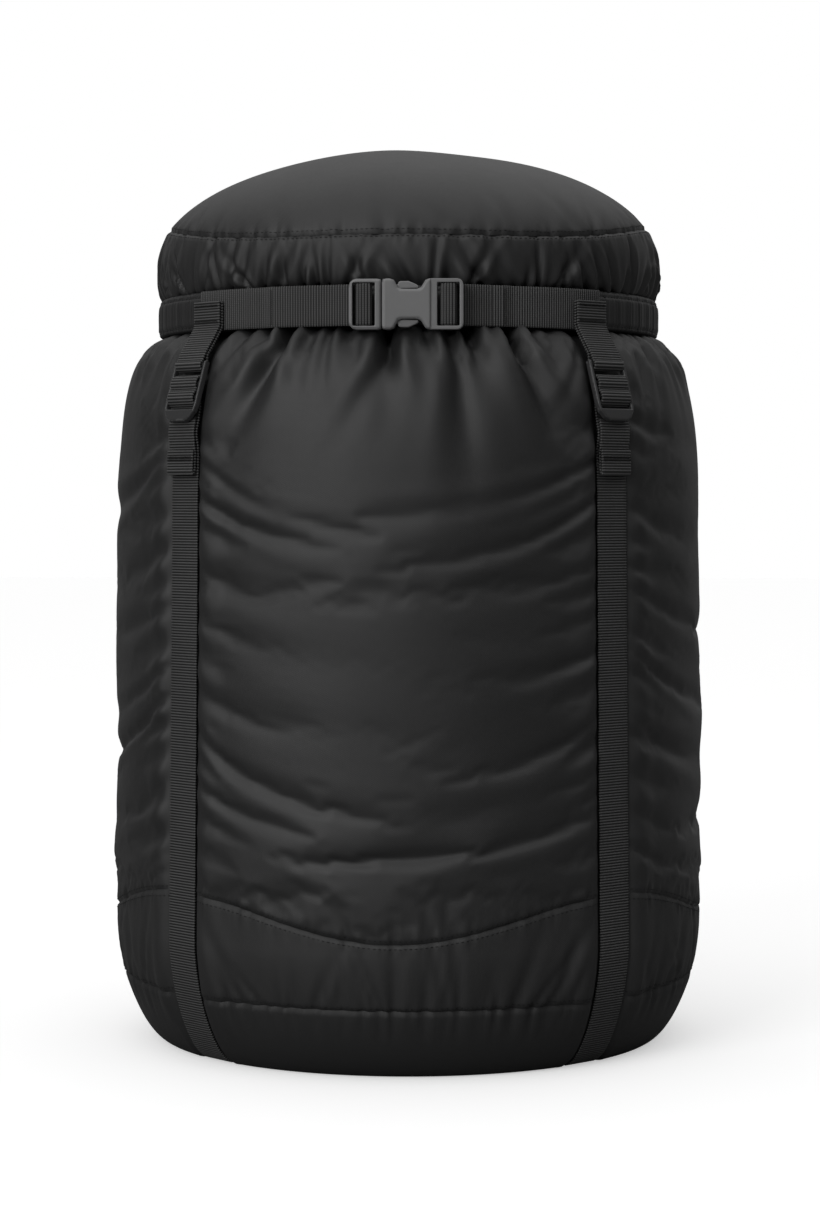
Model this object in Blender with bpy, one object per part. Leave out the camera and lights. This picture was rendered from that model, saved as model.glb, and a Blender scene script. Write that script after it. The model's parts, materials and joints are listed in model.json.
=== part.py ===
"""A compression stuff sack: a drawstring sack under a hooded lid, which four webbing straps pull down.

Run with: blender --background --python part.py
Metres, +Z up. The front faces -Y and the origin is on the ground under the middle of the base.
"""

import math

import bmesh
import bpy
import numpy as np
from mathutils import Matrix, Vector

# The stuffed sack
BELLY_RADIUS = 0.154
BELLY_HEIGHT = 0.062  # where the lower corner has reached its full radius
BASE_FLAT_RADIUS = BELLY_RADIUS - 0.025  # where the base starts to turn up
THROAT_HEIGHT = 0.3656
CHEST_RADIUS = BELLY_RADIUS - 0.0027
CHEST_HEIGHT = THROAT_HEIGHT - 0.0956  # where the shoulder starts to turn in
THROAT_RADIUS = CHEST_RADIUS - 0.0298
CORNER_POWER = 1.65  # 2 is an ellipse, less is flatter, more is squarer
SHOULDER_POWER = 2.7
CLOTH = 0.002  # one skin with its seam allowances and stuffing pressed against it
BASE_SEAM_HEIGHT = 0.035
BOOT_SEAM_LOW = 0.068  # the boot's upper seam hangs in a curve between the straps
BOOT_SEAM_RISE = 0.020

# The lid, from its hem up
HEM_BOTTOM = THROAT_HEIGHT + 0.0006
HEM_HEIGHT = 0.0191
HEM_RADIUS = THROAT_RADIUS + 0.0097
HEM_DEPTH = 0.0072  # from the outer leaf's face to the turned-in leaf's face
HEM_LEAF = 0.0012
ELASTIC_WIDTH = 0.008
ELASTIC_THICKNESS = 0.0022
LID_NECK_RADIUS = HEM_RADIUS - 0.0052
LID_NECK_HEIGHT = HEM_BOTTOM + HEM_HEIGHT + 0.0005
LID_RADIUS = HEM_RADIUS
LID_WIDEST_HEIGHT = LID_NECK_HEIGHT + 0.0162
LID_TOP = LID_WIDEST_HEIGHT + 0.061
LID_POWER = 2.1
LID_SEAM_HEIGHT = LID_WIDEST_HEIGHT + 0.0145
LID_SEAM_SIDE_RISE = 0.006  # the seam is higher at the sides than at the front and back
LID_SEAM_STRAP_DIP = 0.004

# The gathered collar inside the lid
COLLAR_RADIUS = THROAT_RADIUS - 0.0005
COLLAR_TOP = LID_TOP - 0.019
COLLAR_MOUTH_RADIUS = 0.020
COLLAR_POWER = 3.0
EYELET_HEIGHT = THROAT_HEIGHT + 0.0364
EYELET_OUTER_RADIUS = 0.006
EYELET_HOLE_RADIUS = 0.003
EYELET_THICKNESS = 0.0016

# Webbing
WEBBING_WIDTH = 0.020
WEBBING = 0.0015
GAP = 0.0003  # between faces that touch on the real object
STRAP_ANGLE = math.radians(44.5)  # each side of the front and of the back
CHANNEL_MARGIN = 0.001  # each side of a strap in the hollow that it presses into the cloth
STRAP_SINK = 0.0022
CROSSING_RADIUS = 0.020  # the base is hollowed further where the two straps cross
CROSSING_EDGE = 0.034
STRAP_STEP_START = 0.0115
STRAP_STEP_END = 0.0180

# Ladder lock, in its own frame: down the strap from the fixed bar, and out of the sack
LOCK_BAR_RADIUS_AT = HEM_RADIUS + 0.0145  # the fixed bar's distance from the sack's axis
LOCK_BAR_HEIGHT = HEM_BOTTOM - 0.0182
LOCK_TILT = math.radians(17)
LOCK_LENGTH = 0.0290
LOCK_RAIL = 0.0018
LOCK_SIDE_PLAY = 0.0004
LOCK_RAIL_DEPTH = 0.0034
LOCK_BAR_RADIUS = 0.0014
LOCK_GRIP_BARS = (0.0095, 0.0165)
LOCK_GRIP_RADIUS = 0.0013
LOCK_LIP_START = 0.0228
LOCK_LIP_HALF_WIDTH = WEBBING_WIDTH / 2 - 0.0022
LOCK_TOP_MARGIN = 0.0020

# Lid straps and strap ends
LID_STRAP_TOP = HEM_BOTTOM + 0.0138
STRAP_END_DROP = 0.0150  # from the ladder lock's lip to the sewn end
STRAP_END_LENGTH = 0.0100
STRAP_END_FOLD = 0.0032

# Side release buckle on the lid's belt, in its own frame: +X to the right, Y out to the front, Z up
BUCKLE_X = 0.0054
BUCKLE_STANDOFF = 0.0073  # from the hem's face to the buckle's middle plane
BELT_HEIGHT = HEM_BOTTOM + 0.0095
BUCKLE_WIDTH = WEBBING_WIDTH + 0.0044
BUCKLE_THICKNESS = 0.0090
FRAME_THICKNESS = 0.0066
MOUTH_X = -0.0114  # where the plug's shoulder meets the socket
SHOULDER_LENGTH = 0.0052
WAIST_START = 0.0088
WAIST_END = 0.0180
WAIST_FLARE_END = 0.0222
WAIST_HALF_WIDTH = BUCKLE_WIDTH / 2 - 0.0050
CAVITY_LENGTH = 0.0205
CAVITY_HALF_WIDTH = BUCKLE_WIDTH / 2 - 0.0022
CAVITY_HALF_DEPTH = 0.0027
FRAME_BAR = 0.0018
BELT_BAR_LENGTH = 0.0040
BELT_BAR_DEPTH = 0.0028
SOCKET_BAR_FROM_MOUTH = 0.0322
PLUG_BAR_FROM_MOUTH = 0.0086
SLOT_ROOM = 0.0034  # each side of the belt bar
SOCKET_CORNER = 0.0030
PLUG_CORNER = 0.0038
TONGUE_LENGTH = 0.0170
TONGUE_HALF_WIDTH = 0.0025
TONGUE_HALF_DEPTH = 0.0016
ARM_ROOT = 0.0012
ARM_CENTRE = CAVITY_HALF_WIDTH - 0.0020
ARM_HALF_WIDTH = 0.0012
ARM_CATCH_REACH = CAVITY_HALF_WIDTH + 0.0010  # how far from the middle the catch stands out
ARM_LENGTH = 0.0178
ARM_HALF_DEPTH = 0.0022
BELT_SEWN_ANGLE = math.radians(48.5)
BELT_TAIL_RIGHT = math.radians(21.5)
BELT_TAIL_LEFT = math.radians(25.5)

# How finely curves are cut
LAND_STATIONS = 7
RING_STATIONS = 36
SMALL_ROUND = 10

STRAP_BEARINGS = (-STRAP_ANGLE, STRAP_ANGLE, math.pi - STRAP_ANGLE, math.pi + STRAP_ANGLE)
CORNERS = ("front_left", "front_right", "back_right", "back_left")
CHANNEL_HALF = WEBBING_WIDTH / 2 + CHANNEL_MARGIN
LAYER = WEBBING + GAP
UP = Vector((0, 0, 1))


def clear_scene():
    for obj in list(bpy.data.objects):
        bpy.data.objects.remove(obj, do_unlink=True)


def finish(name, colour, roughness, metallic=0.0):
    made = bpy.data.materials.new(name)
    made.use_nodes = True
    shader = made.node_tree.nodes["Principled BSDF"]
    shader.inputs["Base Color"].default_value = (*colour, 1)
    shader.inputs["Roughness"].default_value = roughness
    shader.inputs["Metallic"].default_value = metallic
    return made


def add_object(name, mesh, material, at=None, parent=None):
    """The mesh as an object. Its points are in the frame that `at` places in the world."""
    obj = bpy.data.objects.new(name, mesh)
    bpy.context.scene.collection.objects.link(obj)
    obj.data.materials.append(material.copy())
    obj.data.materials[0].name = name
    if parent:
        obj.parent = parent
        obj.matrix_parent_inverse = parent.matrix_basis.inverted()
    obj.matrix_basis = at or Matrix.Identity(4)
    return obj


def mesh_from(name, points, faces, sharp=35, bevel=0.0):
    """A closed mesh with its normals out. Coinciding points are merged, and bevel rounds the sharp edges."""
    made = bmesh.new()
    corners = [made.verts.new(point) for point in points]
    for face in faces:
        made.faces.new([corners[n] for n in face])
    bmesh.ops.remove_doubles(made, verts=made.verts, dist=1e-6)
    bmesh.ops.recalc_face_normals(made, faces=made.faces)
    if bevel:
        edges = [e for e in made.edges if e.calc_face_angle(0) > math.radians(sharp)]
        bmesh.ops.bevel(made, geom=edges, offset=bevel, segments=1, profile=0.5, affect="EDGES")
    mesh = bpy.data.meshes.new(name)
    made.to_mesh(mesh)
    made.free()
    mesh.shade_smooth()
    mesh.set_sharp_from_angle(angle=math.radians(sharp))
    return mesh


def prism(name, outline, low, high, bevel=0.0):
    """A closed outline in X and Y, extruded in Z from low to high."""
    count = len(outline)
    points = [(x, y, z) for z in (low, high) for x, y in outline]
    sides = [(n, (n + 1) % count, (n + 1) % count + count, n + count) for n in range(count)]
    caps = [tuple(reversed(range(count))), tuple(range(count, 2 * count))]
    return mesh_from(name, points, sides + caps, bevel=bevel)


def box_outline(low_x, high_x, low_y, high_y):
    return [(low_x, low_y), (high_x, low_y), (high_x, high_y), (low_x, high_y)]


def boolean(obj, operation, mesh, at=None):
    """Cuts or joins a helper solid, which stays out of the render."""
    helper = bpy.data.objects.new(f"{obj.name}_{operation.lower()}", mesh)
    bpy.context.scene.collection.objects.link(helper)
    helper.matrix_basis = (obj.matrix_basis @ at) if at else obj.matrix_basis
    helper.hide_render = True
    helper.display_type = "WIRE"
    made = obj.modifiers.new(helper.name, "BOOLEAN")
    made.operation = operation
    made.solver = "EXACT"
    made.object = helper


# Profiles of the turned cloth


def quarter(start, end, power, steps):
    """A quarter of a superellipse, which leaves `start` level and reaches `end` upright."""
    turns = np.linspace(0, math.pi / 2, steps)
    across = np.sin(turns) ** (2 / power)
    along = 1 - np.abs(np.cos(turns)) ** (2 / power)
    start, end = np.array(start), np.array(end)
    return start + (end - start) * np.stack([across, along], axis=1)


class Profile:
    """A line in radius and height that runs up the outside, read by its length from the lower end."""

    def __init__(self, points):
        kept = [points[0]]
        for point in points[1:]:
            if np.linalg.norm(point - kept[-1]) > 1e-6:
                kept.append(point)
        self.points = np.array(kept)
        steps = np.linalg.norm(np.diff(self.points, axis=0), axis=1)
        self.lengths = np.concatenate([[0], np.cumsum(steps)])
        self.whole = self.lengths[-1]

    def place(self, length):
        return np.array([np.interp(length, self.lengths, self.points[:, n]) for n in (0, 1)])

    def outward(self, length):
        reach = 0.0015
        ahead = self.place(min(length + reach, self.whole)) - self.place(max(length - reach, 0))
        ahead /= np.linalg.norm(ahead)
        return np.array([ahead[1], -ahead[0]])

    def inside(self, length, inset):
        """The place this far inside the line."""
        return self.place(length) - inset * self.outward(length)

    def length_at_height(self, height):
        rising = self.points[:, 1] > 1e-6
        return float(np.interp(height, self.points[rising, 1], self.lengths[rising]))


def sack_profile():
    centre = np.array([[0.0, 0.0]])
    corner = quarter((BASE_FLAT_RADIUS, 0), (BELLY_RADIUS, BELLY_HEIGHT), CORNER_POWER, 24)
    shoulder = quarter((THROAT_RADIUS, THROAT_HEIGHT), (CHEST_RADIUS, CHEST_HEIGHT), SHOULDER_POWER, 32)
    return Profile(np.concatenate([centre, corner, shoulder[::-1]]))


def collar_profile():
    foot = (COLLAR_RADIUS, THROAT_HEIGHT + GAP)
    dome = quarter((0, COLLAR_TOP), foot, COLLAR_POWER, 32)[::-1]
    return Profile(dome[dome[:, 0] >= COLLAR_MOUTH_RADIUS])


def lid_profile():
    dome = quarter((0, LID_TOP), (LID_RADIUS, LID_WIDEST_HEIGHT), LID_POWER, 36)
    neck = quarter((LID_NECK_RADIUS, LID_NECK_HEIGHT), (LID_RADIUS, LID_WIDEST_HEIGHT), 2, 12)
    return Profile(np.concatenate([neck, dome[::-1]]))


SACK = sack_profile()
COLLAR = collar_profile()
LID = lid_profile()


def boot_seam(bearing):
    height = BOOT_SEAM_LOW + BOOT_SEAM_RISE * (1 - math.cos(4 * bearing)) / 2
    return SACK.length_at_height(height)


def lid_seam(bearing):
    side = -LID_SEAM_SIDE_RISE * math.cos(2 * bearing)
    dip = LID_SEAM_STRAP_DIP * (1 - math.cos(4 * bearing)) / 2
    return LID.length_at_height(LID_SEAM_HEIGHT + side - dip)


def ahead_of(bearing):
    """The level direction from the axis at this bearing, which is counted from the front towards +X."""
    return Vector((math.sin(bearing), -math.cos(bearing), 0))


def channel_depth(length):
    """How deep a strap presses into the cloth, at this length from the middle of the base."""
    crossing = np.interp(length, [CROSSING_RADIUS, CROSSING_EDGE], [LAYER, 0])
    return STRAP_SINK + float(crossing)


def channelled_ring(place_of, inset):
    """A ring of points: two at the edges of each strap's channel, and the land between channels."""
    ring = []
    edges = []
    for bearing in STRAP_BEARINGS:
        length = place_of(bearing)
        radius, height = SACK.inside(length, inset + channel_depth(length))
        half = min(CHANNEL_HALF, radius * math.sin(STRAP_ANGLE))
        edges.append((radius, height, half))
    for n, bearing in enumerate(STRAP_BEARINGS):
        radius, height, half = edges[n]
        across = ahead_of(bearing + math.pi / 2)
        for side in (-half, half):
            ring.append(ahead_of(bearing) * radius + across * side + UP * height)
        after = STRAP_BEARINGS[n + 1] if n < 3 else STRAP_BEARINGS[0] + 2 * math.pi
        next_radius, _, next_half = edges[(n + 1) % 4]
        first = bearing + math.atan2(half, max(radius, 1e-9))
        last = after - math.atan2(next_half, max(next_radius, 1e-9))
        for k in range(1, LAND_STATIONS + 1):
            share = k / (LAND_STATIONS + 1)
            length = place_of(bearing + (after - bearing) * share)
            hollow = channel_depth(length) if length <= CROSSING_RADIUS + 1e-6 else 0
            land_radius, land_height = SACK.inside(length, inset + hollow)
            ring.append(ahead_of(first + (last - first) * share) * land_radius + UP * land_height)
    return ring


def plain_ring(profile, place_of, inset):
    ring = []
    for n in range(RING_STATIONS):
        bearing = 2 * math.pi * n / RING_STATIONS
        radius, height = profile.inside(place_of(bearing), inset)
        ring.append(ahead_of(bearing) * max(radius, 0) + UP * height)
    return ring


def skin(name, rings_of, shares):
    """A sheet of cloth with two faces. rings_of(share, inset) gives the ring at a share of the way up it."""
    rings = [rings_of(share, 0) for share in shares]
    rings += [rings_of(share, CLOTH) for share in reversed(shares)]
    count = len(rings[0])
    faces = []
    for row in range(len(rings)):
        under, over = row * count, (row + 1) % len(rings) * count
        for n in range(count):
            after = (n + 1) % count
            faces.append((under + n, under + after, over + after, over + n))
    return mesh_from(name, [point for ring in rings for point in ring], faces)


def sack_skin(name, start, end, shares):
    def rings_of(share, inset):
        return channelled_ring(lambda b: start(b) + (end(b) - start(b)) * share, inset)

    return skin(name, rings_of, shares)


def turned_skin(name, profile, start, end, shares):
    def rings_of(share, inset):
        return plain_ring(profile, lambda b: start(b) + (end(b) - start(b)) * share, inset)

    return skin(name, rings_of, shares)


def turned(name, outline, stations=RING_STATIONS):
    """A closed outline in radius and height, turned about the upright axis."""
    points = []
    for n in range(stations):
        direction = ahead_of(2 * math.pi * n / stations)
        points += [direction * radius + UP * height for radius, height in outline]
    count = len(outline)
    faces = []
    for n in range(stations):
        here, there = n * count, (n + 1) % stations * count
        for k in range(count):
            after = (k + 1) % count
            faces.append((here + k, here + after, there + after, there + k))
    return mesh_from(name, points, faces)


# Flat webbing


def smooth(points, per_span=3):
    """Points on one smooth curve through the given ones."""
    points = np.array(points, float)
    padded = np.concatenate([[2 * points[0] - points[1]], points, [2 * points[-1] - points[-2]]])
    found = []
    for a, b, c, d in zip(padded, padded[1:], padded[2:], padded[3:]):
        for share in np.arange(per_span) / per_span:
            found.append(
                0.5 * (2 * b + (c - a) * share + (2 * a - 5 * b + 4 * c - d) * share**2
                       + (3 * b - a - 3 * c + d) * share**3)
            )
    return np.array([*found, points[-1]])


def ribbon(name, path, across, width=WEBBING_WIDTH, thickness=WEBBING):
    """Webbing that follows a path in the plane square to `across`."""
    across = Vector(across)
    points = []
    for n, point in enumerate(path):
        along = Vector(path[min(n + 1, len(path) - 1)]) - Vector(path[max(n - 1, 0)])
        out = along.cross(across).normalized() * (thickness / 2)
        side = across * (width / 2)
        here = Vector(point)
        points += [here + out + side, here + out - side, here - out - side, here - out + side]
    faces = []
    for n in range(len(path) - 1):
        for k in range(4):
            after = (k + 1) % 4
            faces.append((4 * n + k, 4 * n + after, 4 * n + 4 + after, 4 * n + 4 + k))
    last = 4 * (len(path) - 1)
    faces += [(3, 2, 1, 0), (last, last + 1, last + 2, last + 3)]
    return mesh_from(name, points, faces)


def strap_plane(bearing, places):
    """Radius and height pairs in the upright plane at a bearing, as points."""
    return [ahead_of(bearing) * radius + UP * height for radius, height in places]


def from_lock(down, out):
    """A place in a ladder lock's frame, as radius and height."""
    radius = LOCK_BAR_RADIUS_AT + down * math.sin(LOCK_TILT) + out * math.cos(LOCK_TILT)
    height = LOCK_BAR_HEIGHT - down * math.cos(LOCK_TILT) + out * math.sin(LOCK_TILT)
    return radius, height


def lock_threading():
    """The webbing's way through a ladder lock, from the loaded strand to the free one."""
    over_bar = LOCK_GRIP_RADIUS + GAP + WEBBING / 2
    upper, lower = LOCK_GRIP_BARS
    between = (upper + lower) / 2
    under = -(LOCK_RAIL_DEPTH / 2 + GAP + WEBBING / 2)
    lip = LOCK_LIP_START
    return [
        (lip + 0.0034, under - LAYER),
        (lower + 0.0040, under - LAYER * 0.55),
        (lower, -over_bar - 0.0003),
        (upper, -over_bar - 0.0002),
        (upper - 0.0030, -0.0014),
        (upper - 0.0036, 0.0000),
        (upper - 0.0029, 0.0016),
        (upper - 0.0012, over_bar),
        (upper + 0.0012, over_bar),
        (between, over_bar * 0.55),
        (lower - 0.0012, over_bar),
        (lower + 0.0012, over_bar),
        (lower + 0.0031, 0.0010),
        (lower + 0.0042, -0.0008),
        (lip - 0.0010, under + 0.0002),
        (lip + 0.0034, under),
        (LOCK_LENGTH, under),
    ]


def strand_on_cloth(length, raised=0.0):
    """The middle of a strap that lies in its channel."""
    return SACK.inside(length, STRAP_SINK - GAP - WEBBING / 2 + raised)


def half_strap(raised):
    """A long strap from beside the middle of the base, up through a ladder lock, to its free end."""
    lip_height = from_lock(LOCK_LENGTH, 0)[1]
    base = (STRAP_STEP_START, STRAP_STEP_END, 0.045, 0.085, BASE_FLAT_RADIUS - 0.010)
    turn = np.linspace(BASE_FLAT_RADIUS, SACK.length_at_height(BELLY_HEIGHT), 9)
    leave = SACK.length_at_height(lip_height - STRAP_END_DROP)
    wall = np.linspace(turn[-1], leave, 9)[1:]
    loaded = [strand_on_cloth(base[0], raised)]
    loaded += [strand_on_cloth(length) for length in [*base[1:], *turn, *wall]]
    threading = [from_lock(down, out) for down, out in lock_threading()]
    free_end = strand_on_cloth(leave, -LAYER)
    beside_lip = from_lock(LOCK_LENGTH + 0.005, -LOCK_RAIL_DEPTH / 2 - LAYER)
    free = smooth([*threading, beside_lip, free_end + np.array([0, GAP])], 2)
    return [*loaded, from_lock(LOCK_LENGTH + 0.005, -LOCK_RAIL_DEPTH / 2 - 2.1 * LAYER), *free]


def long_strap(name, bearing, raised):
    """A strap under the base, from the lock at a bearing to the lock on the far side."""
    half = half_strap(raised)
    middle = strand_on_cloth(0, raised)
    places = [*reversed([(-radius, height) for radius, height in half]), middle, *half]
    return ribbon(name, strap_plane(bearing, places), ahead_of(bearing + math.pi / 2))


def sewn_end(name, bearing):
    """The folded and stitched end of a strap, which lies on the loaded strand."""
    start = SACK.length_at_height(from_lock(LOCK_LENGTH, 0)[1] - STRAP_END_DROP)
    inset = STRAP_SINK - GAP - WEBBING - GAP - STRAP_END_FOLD / 2
    places = [SACK.inside(length, inset) for length in np.linspace(start, start - STRAP_END_LENGTH, 4)]
    across = ahead_of(bearing + math.pi / 2)
    return ribbon(name, strap_plane(bearing, places), across, thickness=STRAP_END_FOLD)


def beside(path, offset):
    """A line that keeps to one side of a path in a plane."""
    path = np.array(path, float)
    along = np.gradient(path, axis=0)
    along /= np.linalg.norm(along, axis=1, keepdims=True)
    return path + offset * np.stack([along[:, 1], -along[:, 0]], axis=1)


def lid_strap(name, bearing, over_belt):
    """Doubled webbing, sewn to the hem and looped round a ladder lock's fixed bar."""
    seat = HEM_RADIUS + GAP + (LAYER if over_belt else 0) + WEBBING + GAP / 2
    hangs_from = [(seat, LID_STRAP_TOP), (seat, HEM_BOTTOM + 0.004), (seat + 0.0008, HEM_BOTTOM)]
    doubled = smooth([*hangs_from, from_lock(-0.0060, 0)])
    inner, outer = beside(doubled, LAYER / 2), beside(doubled, -LAYER / 2)
    reach = LOCK_BAR_RADIUS + GAP + WEBBING / 2
    turns = np.radians(np.linspace(40, 320, 12))
    loop = [from_lock(-reach * math.cos(turn), -reach * math.sin(turn)) for turn in turns]
    places = [*inner, *loop, *outer[::-1]]
    return ribbon(name, strap_plane(bearing, places), ahead_of(bearing + math.pi / 2))


def belt(name, side, bar_x, tail_bearing):
    """Half of the belt: sewn under a lid strap, round the hem, through the buckle and back under itself."""
    bar_out = HEM_RADIUS + BUCKLE_STANDOFF
    outer_bar = BELT_BAR_LENGTH / 2 + SLOT_ROOM + FRAME_BAR / 2
    seat = HEM_RADIUS + GAP + WEBBING / 2
    round_x = BELT_BAR_LENGTH / 2 + 1.6 * GAP + WEBBING / 2
    round_out = BELT_BAR_DEPTH / 2 + 1.6 * GAP + WEBBING / 2
    under = FRAME_THICKNESS / 2 + GAP + WEBBING / 2
    leave = math.asin((abs(bar_x) + outer_bar) / HEM_RADIUS) + math.radians(5.5)
    step = math.radians(4)

    def on_hem(start, end, radius, count):
        return [ahead_of(side * bearing) * radius for bearing in np.linspace(start, end, count)]

    def at_bar(along, out):
        return Vector((bar_x + side * along, -(bar_out + out), 0))

    path = on_hem(BELT_SEWN_ANGLE, tail_bearing + step, seat, 9)
    path += on_hem(tail_bearing + step / 3, leave, seat + LAYER, 6)
    corner_x, corner_out = round_x - 0.00045, round_out - 0.00055
    turn = [
        (outer_bar, -under),
        (outer_bar - FRAME_BAR / 2 - 0.0008, -under + 0.0001),
        (round_x + 0.0002, -round_out + 0.0008),
        (round_x, 0),
        (corner_x, corner_out),
        (round_x - 0.0017, round_out),
        (0.0017 - round_x, round_out),
        (-corner_x, corner_out),
        (-round_x, 0),
        (0.0002 - round_x, -round_out),
        (0.0006 - round_x, -under - LAYER * 0.2),
        (0.0014, -under - LAYER * 0.95),
        (outer_bar, -under - LAYER * 1.1),
    ]
    path += [at_bar(along, out) for along, out in turn]
    path += on_hem(leave + math.radians(0.5), tail_bearing, seat, 3)
    curve = [Vector(point) + UP * BELT_HEIGHT for point in smooth(path, 2)]
    return ribbon(name, curve, UP)


# Moulded hardware


def lock_frame(bearing):
    """A ladder lock's frame: X across the strap, Y up along the lock, Z out of the sack."""
    across = ahead_of(bearing + math.pi / 2)
    down = ahead_of(bearing) * math.sin(LOCK_TILT) - UP * math.cos(LOCK_TILT)
    out = across.cross(-down)
    at = Vector(strap_plane(bearing, [(LOCK_BAR_RADIUS_AT, LOCK_BAR_HEIGHT)])[0])
    turn = Matrix((across, -down, out)).transposed().to_4x4()
    return Matrix.Translation(at) @ turn


def rod_outline(radius, count=SMALL_ROUND):
    turns = [2 * math.pi * (n + 0.5) / count for n in range(count)]
    return [(radius * math.cos(turn), radius * math.sin(turn)) for turn in turns]


def lock_body(name):
    """Two rails joined by the thumb lip. The bars are joined on afterwards."""
    inner = WEBBING_WIDTH / 2 + LOCK_SIDE_PLAY
    outer = inner + LOCK_RAIL
    tip = -LOCK_LENGTH
    shoulder = tip + 0.0085
    lip = [
        (outer, shoulder),
        (outer - 0.0008, tip + 0.0050),
        (LOCK_LIP_HALF_WIDTH + 0.0010, tip + 0.0016),
        (LOCK_LIP_HALF_WIDTH - 0.0020, tip),
    ]
    right = [(inner, -LOCK_LIP_START), (inner, LOCK_TOP_MARGIN), (outer, LOCK_TOP_MARGIN), *lip]
    left = [(-x, y) for x, y in reversed(right)]
    return prism(name, [*right, *left], -LOCK_RAIL_DEPTH / 2, LOCK_RAIL_DEPTH / 2, bevel=0.0005)


def ladder_lock(name, bearing, parent):
    obj = add_object(name, lock_body(name), PLASTIC, lock_frame(bearing), parent)
    reach = WEBBING_WIDTH / 2 + LOCK_SIDE_PLAY + LOCK_RAIL / 2
    upright = Matrix.Rotation(math.pi / 2, 4, "Y")
    for at, radius in ((0, LOCK_BAR_RADIUS), *((down, LOCK_GRIP_RADIUS) for down in LOCK_GRIP_BARS)):
        rod = prism("rod", rod_outline(radius), -reach, reach)
        boolean(obj, "UNION", rod, Matrix.Translation((0, -at, 0)) @ upright)
    return obj


def buckle_frame():
    """The buckle's frame: X along the belt, Y up, Z out to the front."""
    at = Vector((BUCKLE_X, -(HEM_RADIUS + BUCKLE_STANDOFF), BELT_HEIGHT))
    turn = Matrix(((1, 0, 0), (0, 0, 1), (0, -1, 0))).transposed().to_4x4()
    return Matrix.Translation(at) @ turn


def mirrored_outline(half):
    """An outline from its upper half, which runs from left to right."""
    return [*reversed(half), *((x, -y) for x, y in half)]


def belt_window(obj, bar_x):
    """A window through a buckle's frame, crossed by a belt bar that is thinner than the frame."""
    half = WEBBING_WIDTH / 2 + LOCK_SIDE_PLAY
    near, far = BELT_BAR_LENGTH / 2, BELT_BAR_LENGTH / 2 + SLOT_ROOM
    through, bar_face = 0.010, BELT_BAR_DEPTH / 2
    for side in (-1, 1):
        low, high = sorted((bar_x + side * near, bar_x + side * far))
        boolean(obj, "DIFFERENCE", prism("slot", box_outline(low, high, -half, half), -through, through))
        low, high = sorted((side * bar_face, side * through))
        recess = box_outline(bar_x - near - GAP, bar_x + near + GAP, -half, half)
        boolean(obj, "DIFFERENCE", prism("recess", recess, low, high))


def ease(share):
    share = min(max(share, 0), 1)
    return share * share * (3 - 2 * share)


def socket_half_width(x):
    """The hourglass outline of the socket, at a distance from its mouth."""
    into = ease((x - SHOULDER_LENGTH) / (WAIST_START - SHOULDER_LENGTH))
    out = ease((x - WAIST_END) / (WAIST_FLARE_END - WAIST_END))
    return BUCKLE_WIDTH / 2 - (BUCKLE_WIDTH / 2 - WAIST_HALF_WIDTH) * (into - out)


def rounded_corner(end, radius, degrees):
    """The upper corner of the buckle's outline at its left or right end."""
    centre_x = end - math.copysign(radius, end)
    centre_y = BUCKLE_WIDTH / 2 - radius
    turns = np.radians(degrees)
    return [(centre_x + radius * math.cos(turn), centre_y + radius * math.sin(turn)) for turn in turns]


def buckle_socket(parent):
    length = SOCKET_BAR_FROM_MOUTH + BELT_BAR_LENGTH / 2 + SLOT_ROOM + FRAME_BAR
    half = [(GAP, BUCKLE_WIDTH / 2 - 0.0008), (GAP + 0.0008, BUCKLE_WIDTH / 2)]
    half += [(x, socket_half_width(x)) for x in np.linspace(SHOULDER_LENGTH, WAIST_START, 5)]
    half += [(x, socket_half_width(x)) for x in np.linspace(WAIST_END, WAIST_FLARE_END, 5)]
    half += rounded_corner(length, SOCKET_CORNER, (90, 60, 30, 0))
    moved = [(MOUTH_X + x, y) for x, y in mirrored_outline(half)]
    body = prism("buckle_socket", moved, -BUCKLE_THICKNESS / 2, BUCKLE_THICKNESS / 2, bevel=0.0010)
    obj = add_object("buckle_socket", body, PLASTIC, buckle_frame(), parent)
    cavity = box_outline(MOUTH_X - 0.001, MOUTH_X + CAVITY_LENGTH, -CAVITY_HALF_WIDTH, CAVITY_HALF_WIDTH)
    boolean(obj, "DIFFERENCE", prism("cavity", cavity, -CAVITY_HALF_DEPTH, CAVITY_HALF_DEPTH))
    thin_from = MOUTH_X + WAIST_FLARE_END + 0.0012
    for side in (-1, 1):
        low, high = sorted((side * FRAME_THICKNESS / 2, side * 0.01))
        thinning = prism("thinning", box_outline(thin_from, thin_from + 0.03, -0.02, 0.02), low, high)
        boolean(obj, "DIFFERENCE", thinning)
    belt_window(obj, MOUTH_X + SOCKET_BAR_FROM_MOUTH)
    return obj


def buckle_plug(parent):
    length = PLUG_BAR_FROM_MOUTH + BELT_BAR_LENGTH / 2 + SLOT_ROOM + FRAME_BAR
    half = rounded_corner(-length, PLUG_CORNER, (180, 150, 120, 90))
    half += [(-0.0008, BUCKLE_WIDTH / 2), (0, BUCKLE_WIDTH / 2 - 0.0008)]
    moved = [(MOUTH_X + x, y) for x, y in mirrored_outline(half)]
    body = prism("buckle_plug", moved, -FRAME_THICKNESS / 2, FRAME_THICKNESS / 2, bevel=0.0010)
    obj = add_object("buckle_plug", body, PLASTIC, buckle_frame(), parent)
    tongue = box_outline(MOUTH_X - 0.0015, MOUTH_X + TONGUE_LENGTH, -TONGUE_HALF_WIDTH, TONGUE_HALF_WIDTH)
    boolean(obj, "UNION", prism("tongue", tongue, -TONGUE_HALF_DEPTH, TONGUE_HALF_DEPTH, bevel=0.0005))
    belt_window(obj, MOUTH_X - PLUG_BAR_FROM_MOUTH)
    return obj


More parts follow.
